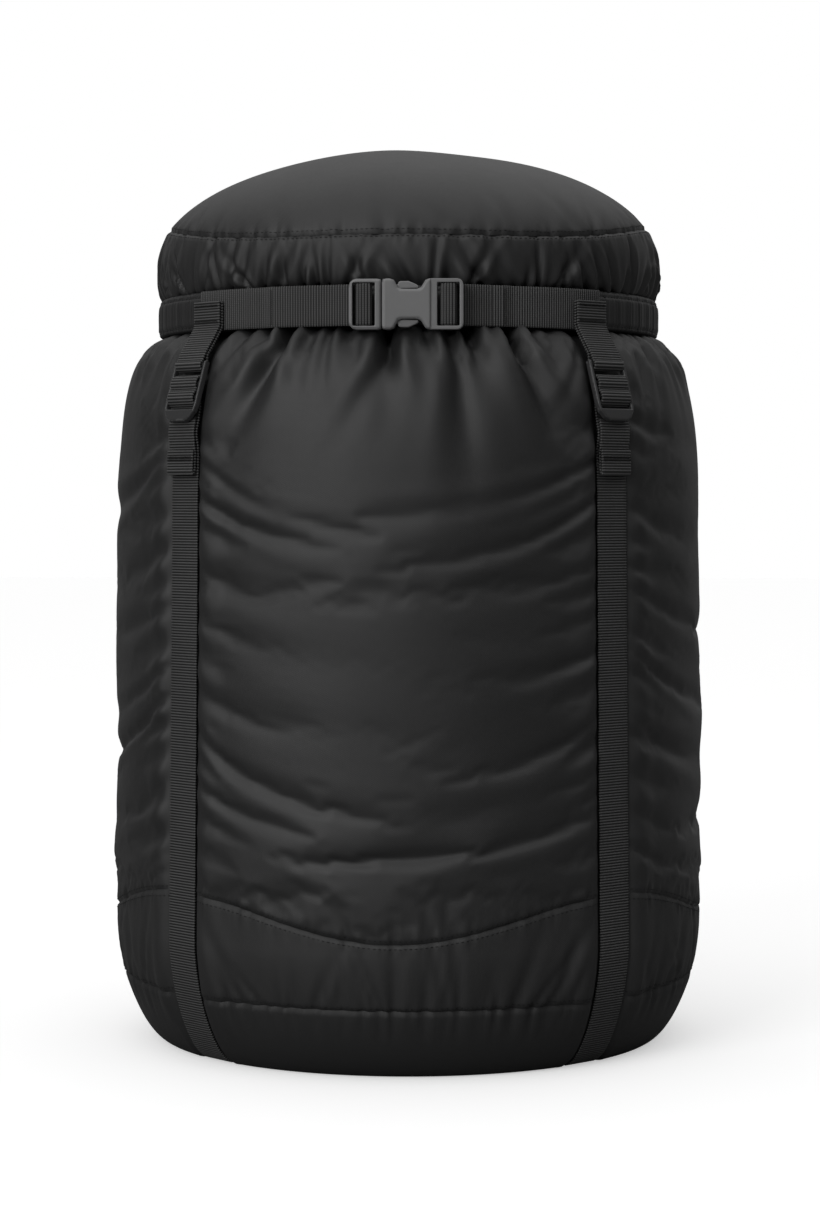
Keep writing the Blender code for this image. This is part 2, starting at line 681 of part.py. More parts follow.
def plug_arm(name, side, parent):
    """A springy arm of the plug, turning about its root. Its catch stands behind the socket's shoulder."""
    catch = ARM_CATCH_REACH - ARM_CENTRE
    thin = ARM_HALF_WIDTH
    catch_x = WAIST_START - ARM_ROOT - 0.0008
    outer = [
        (-ARM_ROOT + 2 * GAP, thin),
        (catch_x, thin + 0.0002),
        (catch_x, catch - 0.0006),
        (catch_x + 0.0007, catch),
        (catch_x + 0.0050, catch + 0.0001),
        (catch_x + 0.0085, catch - 0.0014),
        (ARM_LENGTH - ARM_ROOT, thin - 0.0004),
    ]
    inner = [
        (ARM_LENGTH - ARM_ROOT, -thin + 0.0008),
        (catch_x + 0.0050, -thin + 0.0006),
        (-ARM_ROOT + 2 * GAP, -thin),
    ]
    outline = [(x, side * y) for x, y in [*outer, *inner]]
    mesh = prism(name, outline, -ARM_HALF_DEPTH, ARM_HALF_DEPTH, bevel=0.0003)
    root = Matrix.Translation((MOUTH_X + ARM_ROOT, side * ARM_CENTRE, 0))
    return add_object(name, mesh, PLASTIC, buckle_frame() @ root, parent)


def collar_eyelet(parent):
    """The metal eyelet at the front of the collar, which the drawcord leaves by."""
    length = COLLAR.length_at_height(EYELET_HEIGHT)
    radius, height = COLLAR.inside(length, -GAP - EYELET_THICKNESS / 2)
    out_radius, out_height = COLLAR.outward(length)
    outline = rod_outline(EYELET_OUTER_RADIUS, 16)
    ring = prism("collar_eyelet", outline, -EYELET_THICKNESS / 2, EYELET_THICKNESS / 2, bevel=0.0004)
    out = Vector((0, -out_radius, out_height))
    across = Vector((1, 0, 0))
    turn = Matrix((across, out.cross(across), out)).transposed().to_4x4()
    at = Matrix.Translation((0, -radius, height)) @ turn
    obj = add_object("collar_eyelet", ring, METAL, at, parent)
    boolean(obj, "DIFFERENCE", prism("eyelet_hole", rod_outline(EYELET_HOLE_RADIUS, 12), -0.01, 0.01))
    return obj


# The sack


def make_sack():
    seam = SACK.length_at_height(BASE_SEAM_HEIGHT)
    base_shares = np.array([0, CROSSING_RADIUS, CROSSING_EDGE, BASE_FLAT_RADIUS]) / (seam - GAP / 2)
    corner_shares = np.linspace(base_shares[-1], 1, 5)[1:]
    base = sack_skin("base_panel", lambda b: 0.0, lambda b: seam - GAP / 2, [*base_shares, *corner_shares])
    add_object("base_panel", base, CLOTH_FINISH)
    boot_shares = np.linspace(0, 1, 4)
    boot = sack_skin("boot_band", lambda b: seam + GAP / 2, lambda b: boot_seam(b) - GAP / 2, boot_shares)
    add_object("boot_band", boot, CLOTH_FINISH)
    wall_shares = 1 - (1 - np.linspace(0, 1, 10)) ** 1.6
    wall = sack_skin("sack_wall", lambda b: boot_seam(b) + GAP / 2, lambda b: SACK.whole, wall_shares)
    add_object("sack_wall", wall, CLOTH_FINISH)


def make_collar(parent):
    """The gathered mouth, which the lid takes down with it."""
    collar = turned_skin("throat_collar", COLLAR, lambda b: 0.0, lambda b: COLLAR.whole, np.linspace(0, 1, 9))
    add_object("throat_collar", collar, CLOTH_FINISH, parent=parent)
    collar_eyelet(parent)


def make_lid(parent):
    side_shares = np.linspace(0, 1, 6)
    side = turned_skin("lid_side_band", LID, lambda b: 0.0, lambda b: lid_seam(b) - GAP / 2, side_shares)
    add_object("lid_side_band", side, CLOTH_FINISH, parent=parent)
    top_shares = np.linspace(0, 1, 7) ** 0.8
    top = turned_skin("lid_top_panel", LID, lambda b: lid_seam(b) + GAP / 2, lambda b: LID.whole, top_shares)
    add_object("lid_top_panel", top, CLOTH_FINISH, parent=parent)
    make_hem(parent)


def make_hem(parent):
    """The hem is one strip turned up inside itself, which leaves a channel for the elastic."""
    top, leaf = HEM_BOTTOM + HEM_HEIGHT, HEM_LEAF
    inner_face = HEM_RADIUS - HEM_DEPTH
    outline = [
        (HEM_RADIUS - 0.0026, top),
        (HEM_RADIUS, top - 0.0050),
        (HEM_RADIUS, HEM_BOTTOM + 0.0030),
        (HEM_RADIUS - 0.0014, HEM_BOTTOM),
        (inner_face + 0.0010, HEM_BOTTOM),
        (inner_face, HEM_BOTTOM + 0.0025),
        (inner_face, HEM_BOTTOM + 0.0130),
        (inner_face + leaf, HEM_BOTTOM + 0.0130),
        (inner_face + leaf, HEM_BOTTOM + leaf),
        (HEM_RADIUS - leaf, HEM_BOTTOM + leaf),
        (HEM_RADIUS - leaf, top - 0.0055),
        (HEM_RADIUS - 0.0026 - leaf, top - 0.0008),
    ]
    add_object("lid_hem", turned("lid_hem", outline), CLOTH_FINISH, parent=parent)
    centre = HEM_RADIUS - HEM_DEPTH / 2
    low = HEM_BOTTOM + leaf + GAP
    half = ELASTIC_THICKNESS / 2
    band = box_outline(centre - half, centre + half, low, low + ELASTIC_WIDTH)
    add_object("hem_elastic", turned("hem_elastic", band), RUBBER, parent=parent)


def make_straps(parent):
    for bearing, raised, corners in (
        (STRAP_BEARINGS[0], 0.0, "front_left_to_back_right"),
        (STRAP_BEARINGS[1], LAYER, "front_right_to_back_left"),
    ):
        name = f"strap_{corners}"
        add_object(name, long_strap(name, bearing, raised), WEBBING_FINISH)
    for bearing, corner in zip(STRAP_BEARINGS, CORNERS):
        name = f"lid_strap_{corner}"
        add_object(name, lid_strap(name, bearing, "front" in corner), WEBBING_FINISH, parent=parent)
        name = f"strap_end_{corner}"
        add_object(name, sewn_end(name, bearing), WEBBING_FINISH, parent=parent)
        ladder_lock(f"ladder_lock_{corner}", bearing, parent)


def make_belt(parent):
    right_bar = BUCKLE_X + MOUTH_X + SOCKET_BAR_FROM_MOUTH
    left_bar = BUCKLE_X + MOUTH_X - PLUG_BAR_FROM_MOUTH
    right = belt("belt_right", 1, right_bar, BELT_TAIL_RIGHT)
    add_object("belt_right", right, WEBBING_FINISH, parent=parent)
    left = belt("belt_left", -1, left_bar, BELT_TAIL_LEFT)
    add_object("belt_left", left, WEBBING_FINISH, parent=parent)
    buckle_socket(parent)
    plug = buckle_plug(parent)
    plug_arm("plug_arm_upper", 1, plug)
    plug_arm("plug_arm_lower", -1, plug)


clear_scene()
CLOTH_FINISH = finish("cloth", (0.035, 0.035, 0.036), 0.62)
WEBBING_FINISH = finish("webbing", (0.030, 0.030, 0.030), 0.75)
PLASTIC = finish("plastic", (0.030, 0.030, 0.030), 0.38)
RUBBER = finish("rubber", (0.10, 0.10, 0.10), 0.80)
METAL = finish("metal", (0.12, 0.12, 0.12), 0.35, 1.0)

lid_frame = bpy.data.objects.new("lid_frame", None)
bpy.context.scene.collection.objects.link(lid_frame)
lid_frame.location = (0, 0, HEM_BOTTOM)

make_sack()
make_collar(lid_frame)
make_lid(lid_frame)
make_straps(lid_frame)
make_belt(lid_frame)
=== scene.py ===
"""Looks for a compression stuff sack, laid out as an add-on: one operator for each group of pieces.

Metres, +Z up. The front faces -Y, and a bearing is counted from the front towards +X.
"""

import json
import math

import bpy
import numpy as np
from bpy.props import FloatProperty, FloatVectorProperty, IntProperty, PointerProperty
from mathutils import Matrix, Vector


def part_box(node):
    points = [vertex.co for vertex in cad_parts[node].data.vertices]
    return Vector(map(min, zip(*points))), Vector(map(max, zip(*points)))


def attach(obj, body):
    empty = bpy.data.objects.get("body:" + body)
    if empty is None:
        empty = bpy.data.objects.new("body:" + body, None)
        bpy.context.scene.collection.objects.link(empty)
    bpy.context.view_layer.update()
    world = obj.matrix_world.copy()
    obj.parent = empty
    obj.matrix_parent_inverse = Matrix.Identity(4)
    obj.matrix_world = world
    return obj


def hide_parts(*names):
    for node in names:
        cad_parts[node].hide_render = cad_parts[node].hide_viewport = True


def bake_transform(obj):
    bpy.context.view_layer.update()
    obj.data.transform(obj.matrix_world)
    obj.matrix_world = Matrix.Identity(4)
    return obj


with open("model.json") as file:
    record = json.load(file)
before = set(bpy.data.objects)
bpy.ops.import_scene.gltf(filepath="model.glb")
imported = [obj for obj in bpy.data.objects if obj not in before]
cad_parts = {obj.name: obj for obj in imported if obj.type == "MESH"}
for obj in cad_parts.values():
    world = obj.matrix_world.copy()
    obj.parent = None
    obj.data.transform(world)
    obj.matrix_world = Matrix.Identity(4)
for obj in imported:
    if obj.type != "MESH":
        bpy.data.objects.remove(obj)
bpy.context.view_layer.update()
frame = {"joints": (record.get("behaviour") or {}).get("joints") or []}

bl_info = {
    "name": "Compression stuff sack",
    "version": (1, 0, 0),
    "blender": (4, 5, 0),
    "location": "View3D > Sidebar > Stuff sack",
    "description": "Dresses a compression stuff sack in cloth, webbing, stitching and moulded hardware",
    "category": "Add Mesh",
}

FULL_TURN = 2 * math.pi
UP = np.array([0, 0, 1.0])

# Where the frame puts things
WALL_LOW, WALL_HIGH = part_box("sack_wall")
BOOT_LOW, BOOT_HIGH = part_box("boot_band")
COLLAR_LOW, COLLAR_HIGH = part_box("throat_collar")
LID_LOW, LID_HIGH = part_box("lid_side_band")
CROWN_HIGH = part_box("lid_top_panel")[1]
HEM_LOW, HEM_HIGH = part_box("lid_hem")
BELT_LOW, BELT_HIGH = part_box("belt_right")
JOINTS = {joint["name"]: joint for joint in frame["joints"]}

CORNERS = ("front_left", "front_right", "back_right", "back_left")
LOCK_AT = {corner: Vector(JOINTS[f"lock_tilt_{corner}"]["pos_m"]) for corner in CORNERS}
BEARINGS = {corner: math.atan2(at.x, -at.y) for corner, at in LOCK_AT.items()}
STRAP_BEARINGS = np.array([BEARINGS[corner] for corner in CORNERS])

# Shape of the stuffed sack, as in the frame's solids
BASE_FLAT_RADIUS = 0.129
BELLY_RADIUS = BOOT_HIGH.x
BELLY_HEIGHT = 0.062
CHEST_RADIUS = BELLY_RADIUS - 0.0027
CHEST_HEIGHT = 0.270
THROAT_RADIUS = 0.1215
THROAT_HEIGHT = WALL_HIGH.z
CORNER_POWER = 1.65  # 2 is an ellipse, less is flatter, more is squarer
SHOULDER_POWER = 2.7
BASE_SEAM_HEIGHT = BOOT_LOW.z
BOOT_SEAM_LOW = WALL_LOW.z
BOOT_SEAM_RISE = BOOT_HIGH.z - WALL_LOW.z
STRAP_SINK = 0.0022  # how deep a strap lies in the cloth
CROSSING_RADIUS = 0.020
CROSSING_EDGE = 0.034

# Shape of the collar and the lid
COLLAR_RADIUS = COLLAR_HIGH.x
COLLAR_MOUTH = 0.020
COLLAR_POWER = 3.0
COLLAR_PLEATS = 46
LID_RADIUS = LID_HIGH.x
LID_TOP = CROWN_HIGH.z
LID_WIDEST_HEIGHT = 0.402
LID_NECK_RADIUS = 0.126
LID_NECK_HEIGHT = LID_LOW.z
LID_POWER = 2.1
LID_SEAM_HEIGHT = 0.4165
LID_SEAM_SIDE_RISE = 0.006
LID_SEAM_STRAP_DIP = 0.004
HEM_RADIUS = HEM_HIGH.x
HEM_BOTTOM, HEM_TOP = HEM_LOW.z, HEM_HIGH.z

# Ladder lock, in its own frame: down the strap from the fixed bar, and out of the sack
LOCK_BAR_RADIUS_AT = LOCK_AT["front_left"].to_2d().length
LOCK_BAR_HEIGHT = LOCK_AT["front_left"].z
LOCK_TILT = math.radians(17)
LOCK_LENGTH = 0.0290
LOCK_RAIL_DEPTH = 0.0034
LOCK_BAR_RADIUS = 0.0014
LOCK_GRIP_BARS = (0.0095, 0.0165)
LOCK_GRIP_RADIUS = 0.0013
LOCK_LIP_START = 0.0228
STRAP_END_DROP = 0.0150
STRAP_END_LENGTH = 0.0100
STRAP_END_FOLD = 0.0032
LID_STRAP_TOP = 0.3800

# Side release buckle and its belt
BUCKLE_X = 0.0054
BUCKLE_STANDOFF = 0.0073
BELT_HEIGHT = (BELT_LOW.z + BELT_HIGH.z) / 2
FRAME_THICKNESS = 0.0066
MOUTH_X = -0.0114
BELT_BAR_LENGTH = 0.0040
BELT_BAR_DEPTH = 0.0028
SOCKET_BAR_FROM_MOUTH = 0.0322
PLUG_BAR_FROM_MOUTH = 0.0086
SLOT_ROOM = 0.0034
FRAME_BAR = 0.0018
BELT_SEWN_ANGLE = math.radians(48.5)
BELT_TAIL_RIGHT = math.radians(21.5)
BELT_TAIL_LEFT = math.radians(25.5)
GAP = 0.0003  # between faces that touch on the real object

# The soft stretch of the wall, from the standing base to the travelling lid. Only its upper end is read
# here, where the long straps are cut into pieces.
WALL_BEND = {"start": (0, 0, 0.060), "end": (0, 0, 0.296)}

# Heights at the top and the foot of a packed free tail under each lock
# Between these, a free tail's rows are packed behind the lock's lip, and pass from the lid to the sewn end
PACKED_TOP, PACKED_LOW = 0.3275, 0.3205
PACKED_LENGTH = 0.110

# How finely pieces are cut
ROUND = 300  # columns round the sack before refining
STEP = 0.0031  # rows up the cloth before refining
LID_ROUND = 600
HEM_ROUND = 900


# Settings that a user would change


def number(name, description, default, **options):
    return FloatProperty(name=name, description=description, default=default, **options)


def size(name, description, default):
    return number(name, description, default, unit="LENGTH", subtype="DISTANCE", precision=5)


def angle(name, description, degrees):
    return number(name, description, math.radians(degrees), unit="ROTATION", subtype="ANGLE")


def colour(name, description, default):
    return FloatVectorProperty(name=name, description=description, default=default, size=3, subtype="COLOR",
                               min=0, max=1)


class StuffSackCloth(bpy.types.PropertyGroup):
    """Folds, gathers and seams of the cloth"""

    swag_depth: size("Swag depth", "How deep the folds beside the straps are", 0.0020)
    gather_depth: size("Gather depth", "How deep the gathers under the lid's hem are", 0.0046)
    lid_gather_depth: size("Lid gather depth", "How deep the gathers in the lid's side band are", 0.0034)
    pucker_depth: size("Pucker depth", "How deep the small puckers along a seam are", 0.0006)
    seam_depth: size("Seam depth", "How deep a seam pulls the cloth in", 0.0011)
    bulge: size("Bulge", "How far the cloth stands out beside a strap", 0.0022)
    stitch: size("Stitch", "The length of one stitch", 0.0026)
    thread: size("Thread", "The thread's diameter", 0.00042)
    seed: IntProperty(name="Seed", description="Chooses where the folds fall", default=7)


class StuffSackWebbing(bpy.types.PropertyGroup):
    """The flat ribbed webbing of the straps and the belt"""

    width: size("Width", "The webbing's width", 0.020)
    thickness: size("Thickness", "The webbing's thickness", 0.0015)
    rib_pitch: size("Rib pitch", "From one rib to the next", 0.00138)
    rib_height: size("Rib height", "From a groove's floor to a rib's crest", 0.00042)


class StuffSackHardware(bpy.types.PropertyGroup):
    """The moulded buckle and ladder locks"""

    grain: size("Grain", "The size of the cells that the moulded shapes are rebuilt from", 0.00028)
    rounding: IntProperty(name="Rounding", description="How often the shapes are smoothed", default=5)


class StuffSackFinish(bpy.types.PropertyGroup):
    """Colours of the finishes"""

    cloth: colour("Cloth", "The nylon's colour", (0.0155, 0.0155, 0.0158))
    boot: colour("Boot", "The lower band's colour", (0.0165, 0.0165, 0.0168))
    # The webbing's colour is the colour of its rib crests, lightened as a painted highlight; its grooves get
    # painted shade
    webbing: colour("Webbing", "The colour of the webbing's rib crests, lit as a painted highlight", (0.150, 0.150, 0.150))
    thread: colour("Thread", "The thread's colour", (0.006, 0.006, 0.006))
    locks: colour("Locks", "The ladder locks' colour", (0.050, 0.050, 0.051))
    # The buckle's colour is set light to stand for its satin sheen: painted sheen over the whole part
    buckle: colour("Buckle", "The buckle's colour, lightened as painted sheen, rubbed lighter at its edges", (0.235, 0.235, 0.237))


class StuffSackStage(bpy.types.PropertyGroup):
    """The camera, the floor and the lights"""

    lens: number("Lens", "The camera's focal length in mm", 85.2)
    distance: size("Distance", "From the sack's axis to the camera", 1.542)
    height: size("Height", "The camera's height over the floor", 0.2817)
    azimuth: angle("Azimuth", "The camera's bearing", 2.85)
    pitch: angle("Pitch", "How far the camera looks down", 2.26)
    key: number("Key light", "Power of the large light at the front left", 21.0)
    fill: number("Fill light", "Power of the light at the front right", 0.6)
    surround: number("Surround", "Brightness of the studio round the sack", 0.03)
    overhead: number("Overhead", "Brightness of the studio's ceiling", 0.74)
    behind: number("Behind", "Brightness of the studio behind the sack", 0.26)
    floor_glow: number("Floor glow", "How far the floor is lit from below", 0.49)
    floor_bounce: number("Floor bounce", "The share of light the floor throws back", 0.22)


class StuffSackSettings(bpy.types.PropertyGroup):
    """All settings of the stuff sack"""

    cloth: PointerProperty(type=StuffSackCloth)
    webbing: PointerProperty(type=StuffSackWebbing)
    hardware: PointerProperty(type=StuffSackHardware)
    finish: PointerProperty(type=StuffSackFinish)
    stage: PointerProperty(type=StuffSackStage)


def settings():
    return bpy.context.scene.stuff_sack


# Lines in radius and height, and the cloth turned from them


def ahead(bearing):
    """Level directions from the axis at these bearings."""
    bearing = np.asarray(bearing, float)
    return np.stack([np.sin(bearing), -np.cos(bearing), np.zeros_like(bearing)], axis=-1)


def turned(bearing, radius, height):
    """Points at these bearings, radii and heights."""
    return ahead(bearing) * radius[..., None] + UP * height[..., None]


def all_round(columns):
    """Bearings of the columns of a grid that closes round them."""
    return np.arange(columns) * FULL_TURN / columns


def between(bearing, other):
    """The signed turn from another bearing to this one."""
    return (bearing - other + math.pi) % FULL_TURN - math.pi


def ease(share):
    share = np.clip(share, 0, 1)
    return share * share * (3 - 2 * share)


def quarter(start, end, power):
    """A quarter of a superellipse, which leaves `start` level and reaches `end` upright."""
    turns = np.linspace(0, math.pi / 2, 160)
    across = np.sin(turns) ** (2 / power)
    along = 1 - np.abs(np.cos(turns)) ** (2 / power)
    start, end = np.array(start), np.array(end)
    return start + (end - start) * np.stack([across, along], axis=1)


def lengths_along(line):
    """How far along a line each of its points lies."""
    return np.concatenate([[0], np.cumsum(np.linalg.norm(np.diff(line, axis=0), axis=1))])


def climb_of(points):
    """How far up a grid each of its rows lies, on average."""
    return np.concatenate([[0], np.cumsum(np.linalg.norm(np.diff(points, axis=0), axis=2).mean(axis=1))])


class Profile:
    """A line in radius and height that runs up the outside, read by its length from the lower end."""

    def __init__(self, *stretches):
        points = np.concatenate(stretches)
        steps = np.linalg.norm(np.diff(points, axis=0), axis=1)
        self.points = points[np.concatenate([[True], steps > 1e-6])]
        self.lengths = lengths_along(self.points)
        self.whole = self.lengths[-1]

    def place(self, length):
        return tuple(np.interp(length, self.lengths, self.points[:, n]) for n in (0, 1))

    def outward(self, length):
        reach = 0.0015
        high, low = np.minimum(length + reach, self.whole), np.maximum(length - reach, 0)
        across, along = (b - a for a, b in zip(self.place(low), self.place(high)))
        run = np.hypot(across, along)
        return along / run, -across / run

    def inside(self, length, inset):
        """Radius and height of the place this far inside the line."""
        (radius, height), (out, up) = self.place(length), self.outward(length)
        return radius - inset * out, height - inset * up

    def length_at(self, height):
        rising = self.points[:, 1] > 1e-6
        return np.interp(height, self.points[rising, 1], self.lengths[rising])

    def on(self, bearing, length, proud=0.0):
        """Points on the line turned to these bearings, standing proud of it."""
        radius, height = self.inside(np.asarray(length, float), -np.asarray(proud, float))
        return turned(bearing, radius, height)


SACK = Profile(
    [(0.0, 0.0)],
    quarter((BASE_FLAT_RADIUS, 0), (BELLY_RADIUS, BELLY_HEIGHT), CORNER_POWER),
    quarter((THROAT_RADIUS, THROAT_HEIGHT), (CHEST_RADIUS, CHEST_HEIGHT), SHOULDER_POWER)[::-1],
)
COLLAR = Profile(
    [place for place in quarter((0, COLLAR_HIGH.z), (COLLAR_RADIUS, COLLAR_LOW.z), COLLAR_POWER)[::-1]
     if place[0] >= COLLAR_MOUTH]
)
LID = Profile(
    quarter((LID_NECK_RADIUS, LID_NECK_HEIGHT), (LID_RADIUS, LID_WIDEST_HEIGHT), 2),
    quarter((0, LID_TOP), (LID_RADIUS, LID_WIDEST_HEIGHT), LID_POWER)[::-1],
)


def boot_seam(bearing):
    return SACK.length_at(BOOT_SEAM_LOW + BOOT_SEAM_RISE * (1 - np.cos(4 * bearing)) / 2)


def lid_seam(bearing):
    side = -LID_SEAM_SIDE_RISE * np.cos(2 * bearing)
    dip = LID_SEAM_STRAP_DIP * (1 - np.cos(4 * bearing)) / 2
    return LID.length_at(LID_SEAM_HEIGHT + side - dip)


def rows_between(low, high, step):
    """Lengths from low to high at each bearing, as rows, about a step apart."""
    count = max(2, int(round(float(np.mean(high - low)) / step)) + 1)
    share = np.linspace(0, 1, count)[:, None]
    return low + (high - low) * share


def refine(points):
    """Puts a cubic midpoint between all neighbours of a grid that closes round its columns."""
    after, before, beyond = (np.roll(points, n, axis=1) for n in (-1, 1, -2))
    middle = (9 * (points + after) - before - beyond) / 16
    wide = np.stack([points, middle], axis=2).reshape(points.shape[0], -1, points.shape[2])
    ends = np.concatenate([2 * wide[:1] - wide[1:2], wide, 2 * wide[-1:] - wide[-2:-1]])
    between_rows = (9 * (ends[1:-2] + ends[2:-1]) - ends[:-3] - ends[3:]) / 16
    made = np.empty((2 * len(wide) - 1, *wide.shape[1:]))
    made[::2], made[1::2] = wide, between_rows
    return made


def grid_normals(points):
    """Unit normals of a grid that closes round its columns, away from the inside."""
    along = np.gradient(points, axis=0)
    across = (np.roll(points, -1, axis=1) - np.roll(points, 1, axis=1)) / 2
    normal = np.cross(across, along)
    return normal / np.maximum(np.linalg.norm(normal, axis=2, keepdims=True), 1e-12)


# Folds: each is a valley with a soft shoulder on both sides, laid along a line over the cloth


def valley(offset, width):
    """The cross section of a fold, 1 deep, by the distance from its line."""
    shoulder = 0.42 * np.exp(-(((np.abs(offset) - 2.0 * width) / (1.1 * width)) ** 2))
    return shoulder - np.exp(-((offset / width) ** 2))


def swags(bearing, height, random):
    """Folds that leave both edges of each strap and hang in a curve towards the middle of the panel."""
    depth = np.zeros_like(bearing)
    for strap in STRAP_BEARINGS:
        for side in (-1, 1):
            start = 0.092 + random.uniform(0, 0.010)
            while start < 0.325:
                reach = random.choice([0.024, 0.040, 0.062, 0.095], p=[0.25, 0.3, 0.25, 0.2])
                reach *= random.uniform(0.8, 1.25)
                slope = random.uniform(0.40, 0.95)
                width = random.uniform(0.0024, 0.0046)
                deep = random.uniform(0.40, 1.0)
                away = side * between(bearing, strap) * BELLY_RADIUS - 0.009
                line = start - slope * 0.55 * reach * (1 - np.exp(-np.maximum(away, 0) / (0.55 * reach)))
                fade = np.exp(-((np.maximum(away, 0) / reach) ** 2)) * ease((away + 0.006) / 0.008)
                spread = width * (1 + 0.9 * np.clip(away / reach, 0, 1.5))
                depth += deep * fade * valley(height - line, spread)
                start += random.uniform(0.0085, 0.0210)
    return depth


def long_waves(bearing, height, random):
    """Broad level waves over the whole wall, which the stuffing leaves."""
    depth = np.zeros_like(bearing)
    for _ in range(26):
        middle = random.uniform(-math.pi, math.pi)
        level = random.uniform(0.10, 0.33)
        wide, tall = random.uniform(0.25, 0.60), random.uniform(0.007, 0.014)
        tilt = random.uniform(-0.010, 0.010)
        offset = between(bearing, middle)
        line = height - level - tilt * offset
        depth += random.uniform(-1, 1) * np.exp(-((offset / wide) ** 2) - (line / tall) ** 2)
    return depth


def hanging_gathers(bearing, drop, radius, random, spacing, reach, width):
    """Folds that run down from a gathered edge. drop is the distance from that edge."""
    depth = np.zeros_like(bearing)
    at = random.uniform(0, spacing)
    while at < FULL_TURN * radius:
        middle = at / radius
        long = random.uniform(*reach)
        slant = random.normal(0, 0.33)
        wide = random.uniform(*width)
        offset = between(bearing, middle) * radius - slant * drop
        fade = np.exp(-((np.maximum(drop, 0) / long) ** 2))
        depth += random.uniform(0.35, 1.0) * fade * valley(offset, wide * (1 + 0.7 * drop / long))
        at += random.uniform(0.55, 1.45) * spacing
    return depth


def puckers(bearing, radius, pitch, random):
    """A run of small uneven ripples along a seam, between -1 and 1."""
    count = int(round(FULL_TURN * radius / pitch))
    made = np.zeros_like(bearing)
    for step in (0.61, 0.83, 1.0, 1.31, 1.72):
        turns = int(round(count * step))
        made += np.cos(turns * bearing + random.uniform(0, FULL_TURN)) * random.uniform(0.4, 1.0)
    return made / 2.4


def groove(distance, width):
    return -np.exp(-((distance / width) ** 2))


# Meshes and objects


def link(name, data):
    obj = bpy.data.objects.new(name, data)
    bpy.context.scene.collection.objects.link(obj)
    return obj


def mesh_of(name, points, faces, uvs=None):
    """A smooth shaded mesh. uvs holds a pair for each corner of each face, in metres over the cloth."""
    mesh = bpy.data.meshes.new(name)
    mesh.from_pydata(points.tolist(), [], faces if isinstance(faces, list) else faces.tolist())
    if uvs is not None:
        layer = mesh.uv_layers.new(name="weave")
        layer.uv.foreach_set("vector", np.asarray(uvs, np.float32).ravel())
    mesh.shade_smooth()
    mesh.validate()
    return mesh


def ring_faces(rows, columns):
    """Row, column and corners of each face of a grid that closes round its columns."""
    row, column = np.meshgrid(np.arange(rows - 1), np.arange(columns), indexing="ij")
    here, after = row * columns + column, row * columns + (column + 1) % columns
    return row, column, np.stack([here, after, after + columns, here + columns], axis=-1).reshape(-1, 4)


def sheet_mesh(name, points, cap=None):
    """A grid that closes round its columns as a mesh. cap closes its "low" or "high" ring with one face.

    The weave of a capped grid runs straight across it, as in a round cut, and otherwise round and up.
    """
    rows, columns = points.shape[:2]
    row, column, faces = ring_faces(rows, columns)
    faces = faces.tolist()
    round_step = np.linalg.norm(np.diff(points, axis=1), axis=2).max(axis=0).mean()
    up = climb_of(points)
    low, high = up[row], up[row + 1]
    left, right = column * round_step, (column + 1) * round_step
    uvs = np.stack([left, low, right, low, right, high, left, high], axis=-1).reshape(-1, 2)
    if cap:
        ring = (rows - 1) * columns if cap == "high" else 0
        around = [ring + n for n in range(columns)]
        faces.append(around if cap == "high" else around[::-1])
        away = up[-1] - up if cap == "high" else up
        away = away + np.hypot(*points.reshape(-1, 3)[ring:ring + columns, :2].T).mean()
        turns = all_round(columns)
        flat = np.stack([np.outer(away, np.cos(turns)), np.outer(away, np.sin(turns))], axis=-1)
        uvs = flat.reshape(-1, 2)[[corner for face in faces for corner in face]]
    return mesh_of(name, points.reshape(-1, 3), faces, uvs)


def dress(obj, material):
    obj.data.materials.clear()
    obj.data.materials.append(material)
    return obj


def unit(vectors):
    return vectors / np.maximum(np.linalg.norm(vectors, axis=-1, keepdims=True), 1e-12)


def spaced(line, step):
    """Points a step apart along a line, from its first point to its last."""
    lengths = lengths_along(line)
    wanted = np.linspace(0, lengths[-1], max(2, int(round(lengths[-1] / step)) + 1))
    return np.stack([np.interp(wanted, lengths, line[:, n]) for n in range(line.shape[1])], axis=1)


def smooth(points, per_span=6):
    """Points on one smooth curve through the given ones."""
    points = np.array(points, float)
    padded = np.concatenate([[2 * points[0] - points[1]], points, [2 * points[-1] - points[-2]]])
    found = []
    for a, b, c, d in zip(padded, padded[1:], padded[2:], padded[3:]):
        for share in np.arange(per_span) / per_span:
            found.append(
                0.5 * (2 * b + (c - a) * share + (2 * a - 5 * b + 4 * c - d) * share**2
                       + (3 * b - a - 3 * c + d) * share**3)
            )
    return np.array([*found, points[-1]])


# Stitching


# Share of a stitch's length, and its radius and height there in radii of the thread
STITCH_RINGS = ((0.0, 0.10, -0.9), (0.14, 0.75, -0.1), (0.5, 1.0, 0.35), (0.86, 0.75, -0.1),
                (1.0, 0.10, -0.9))
STITCH_SIDES = 6
STITCH_GAP = 0.38
STITCH_PROUD = 0.0001
TACK_THREAD = 0.00034
TACK_PITCH = 0.0005


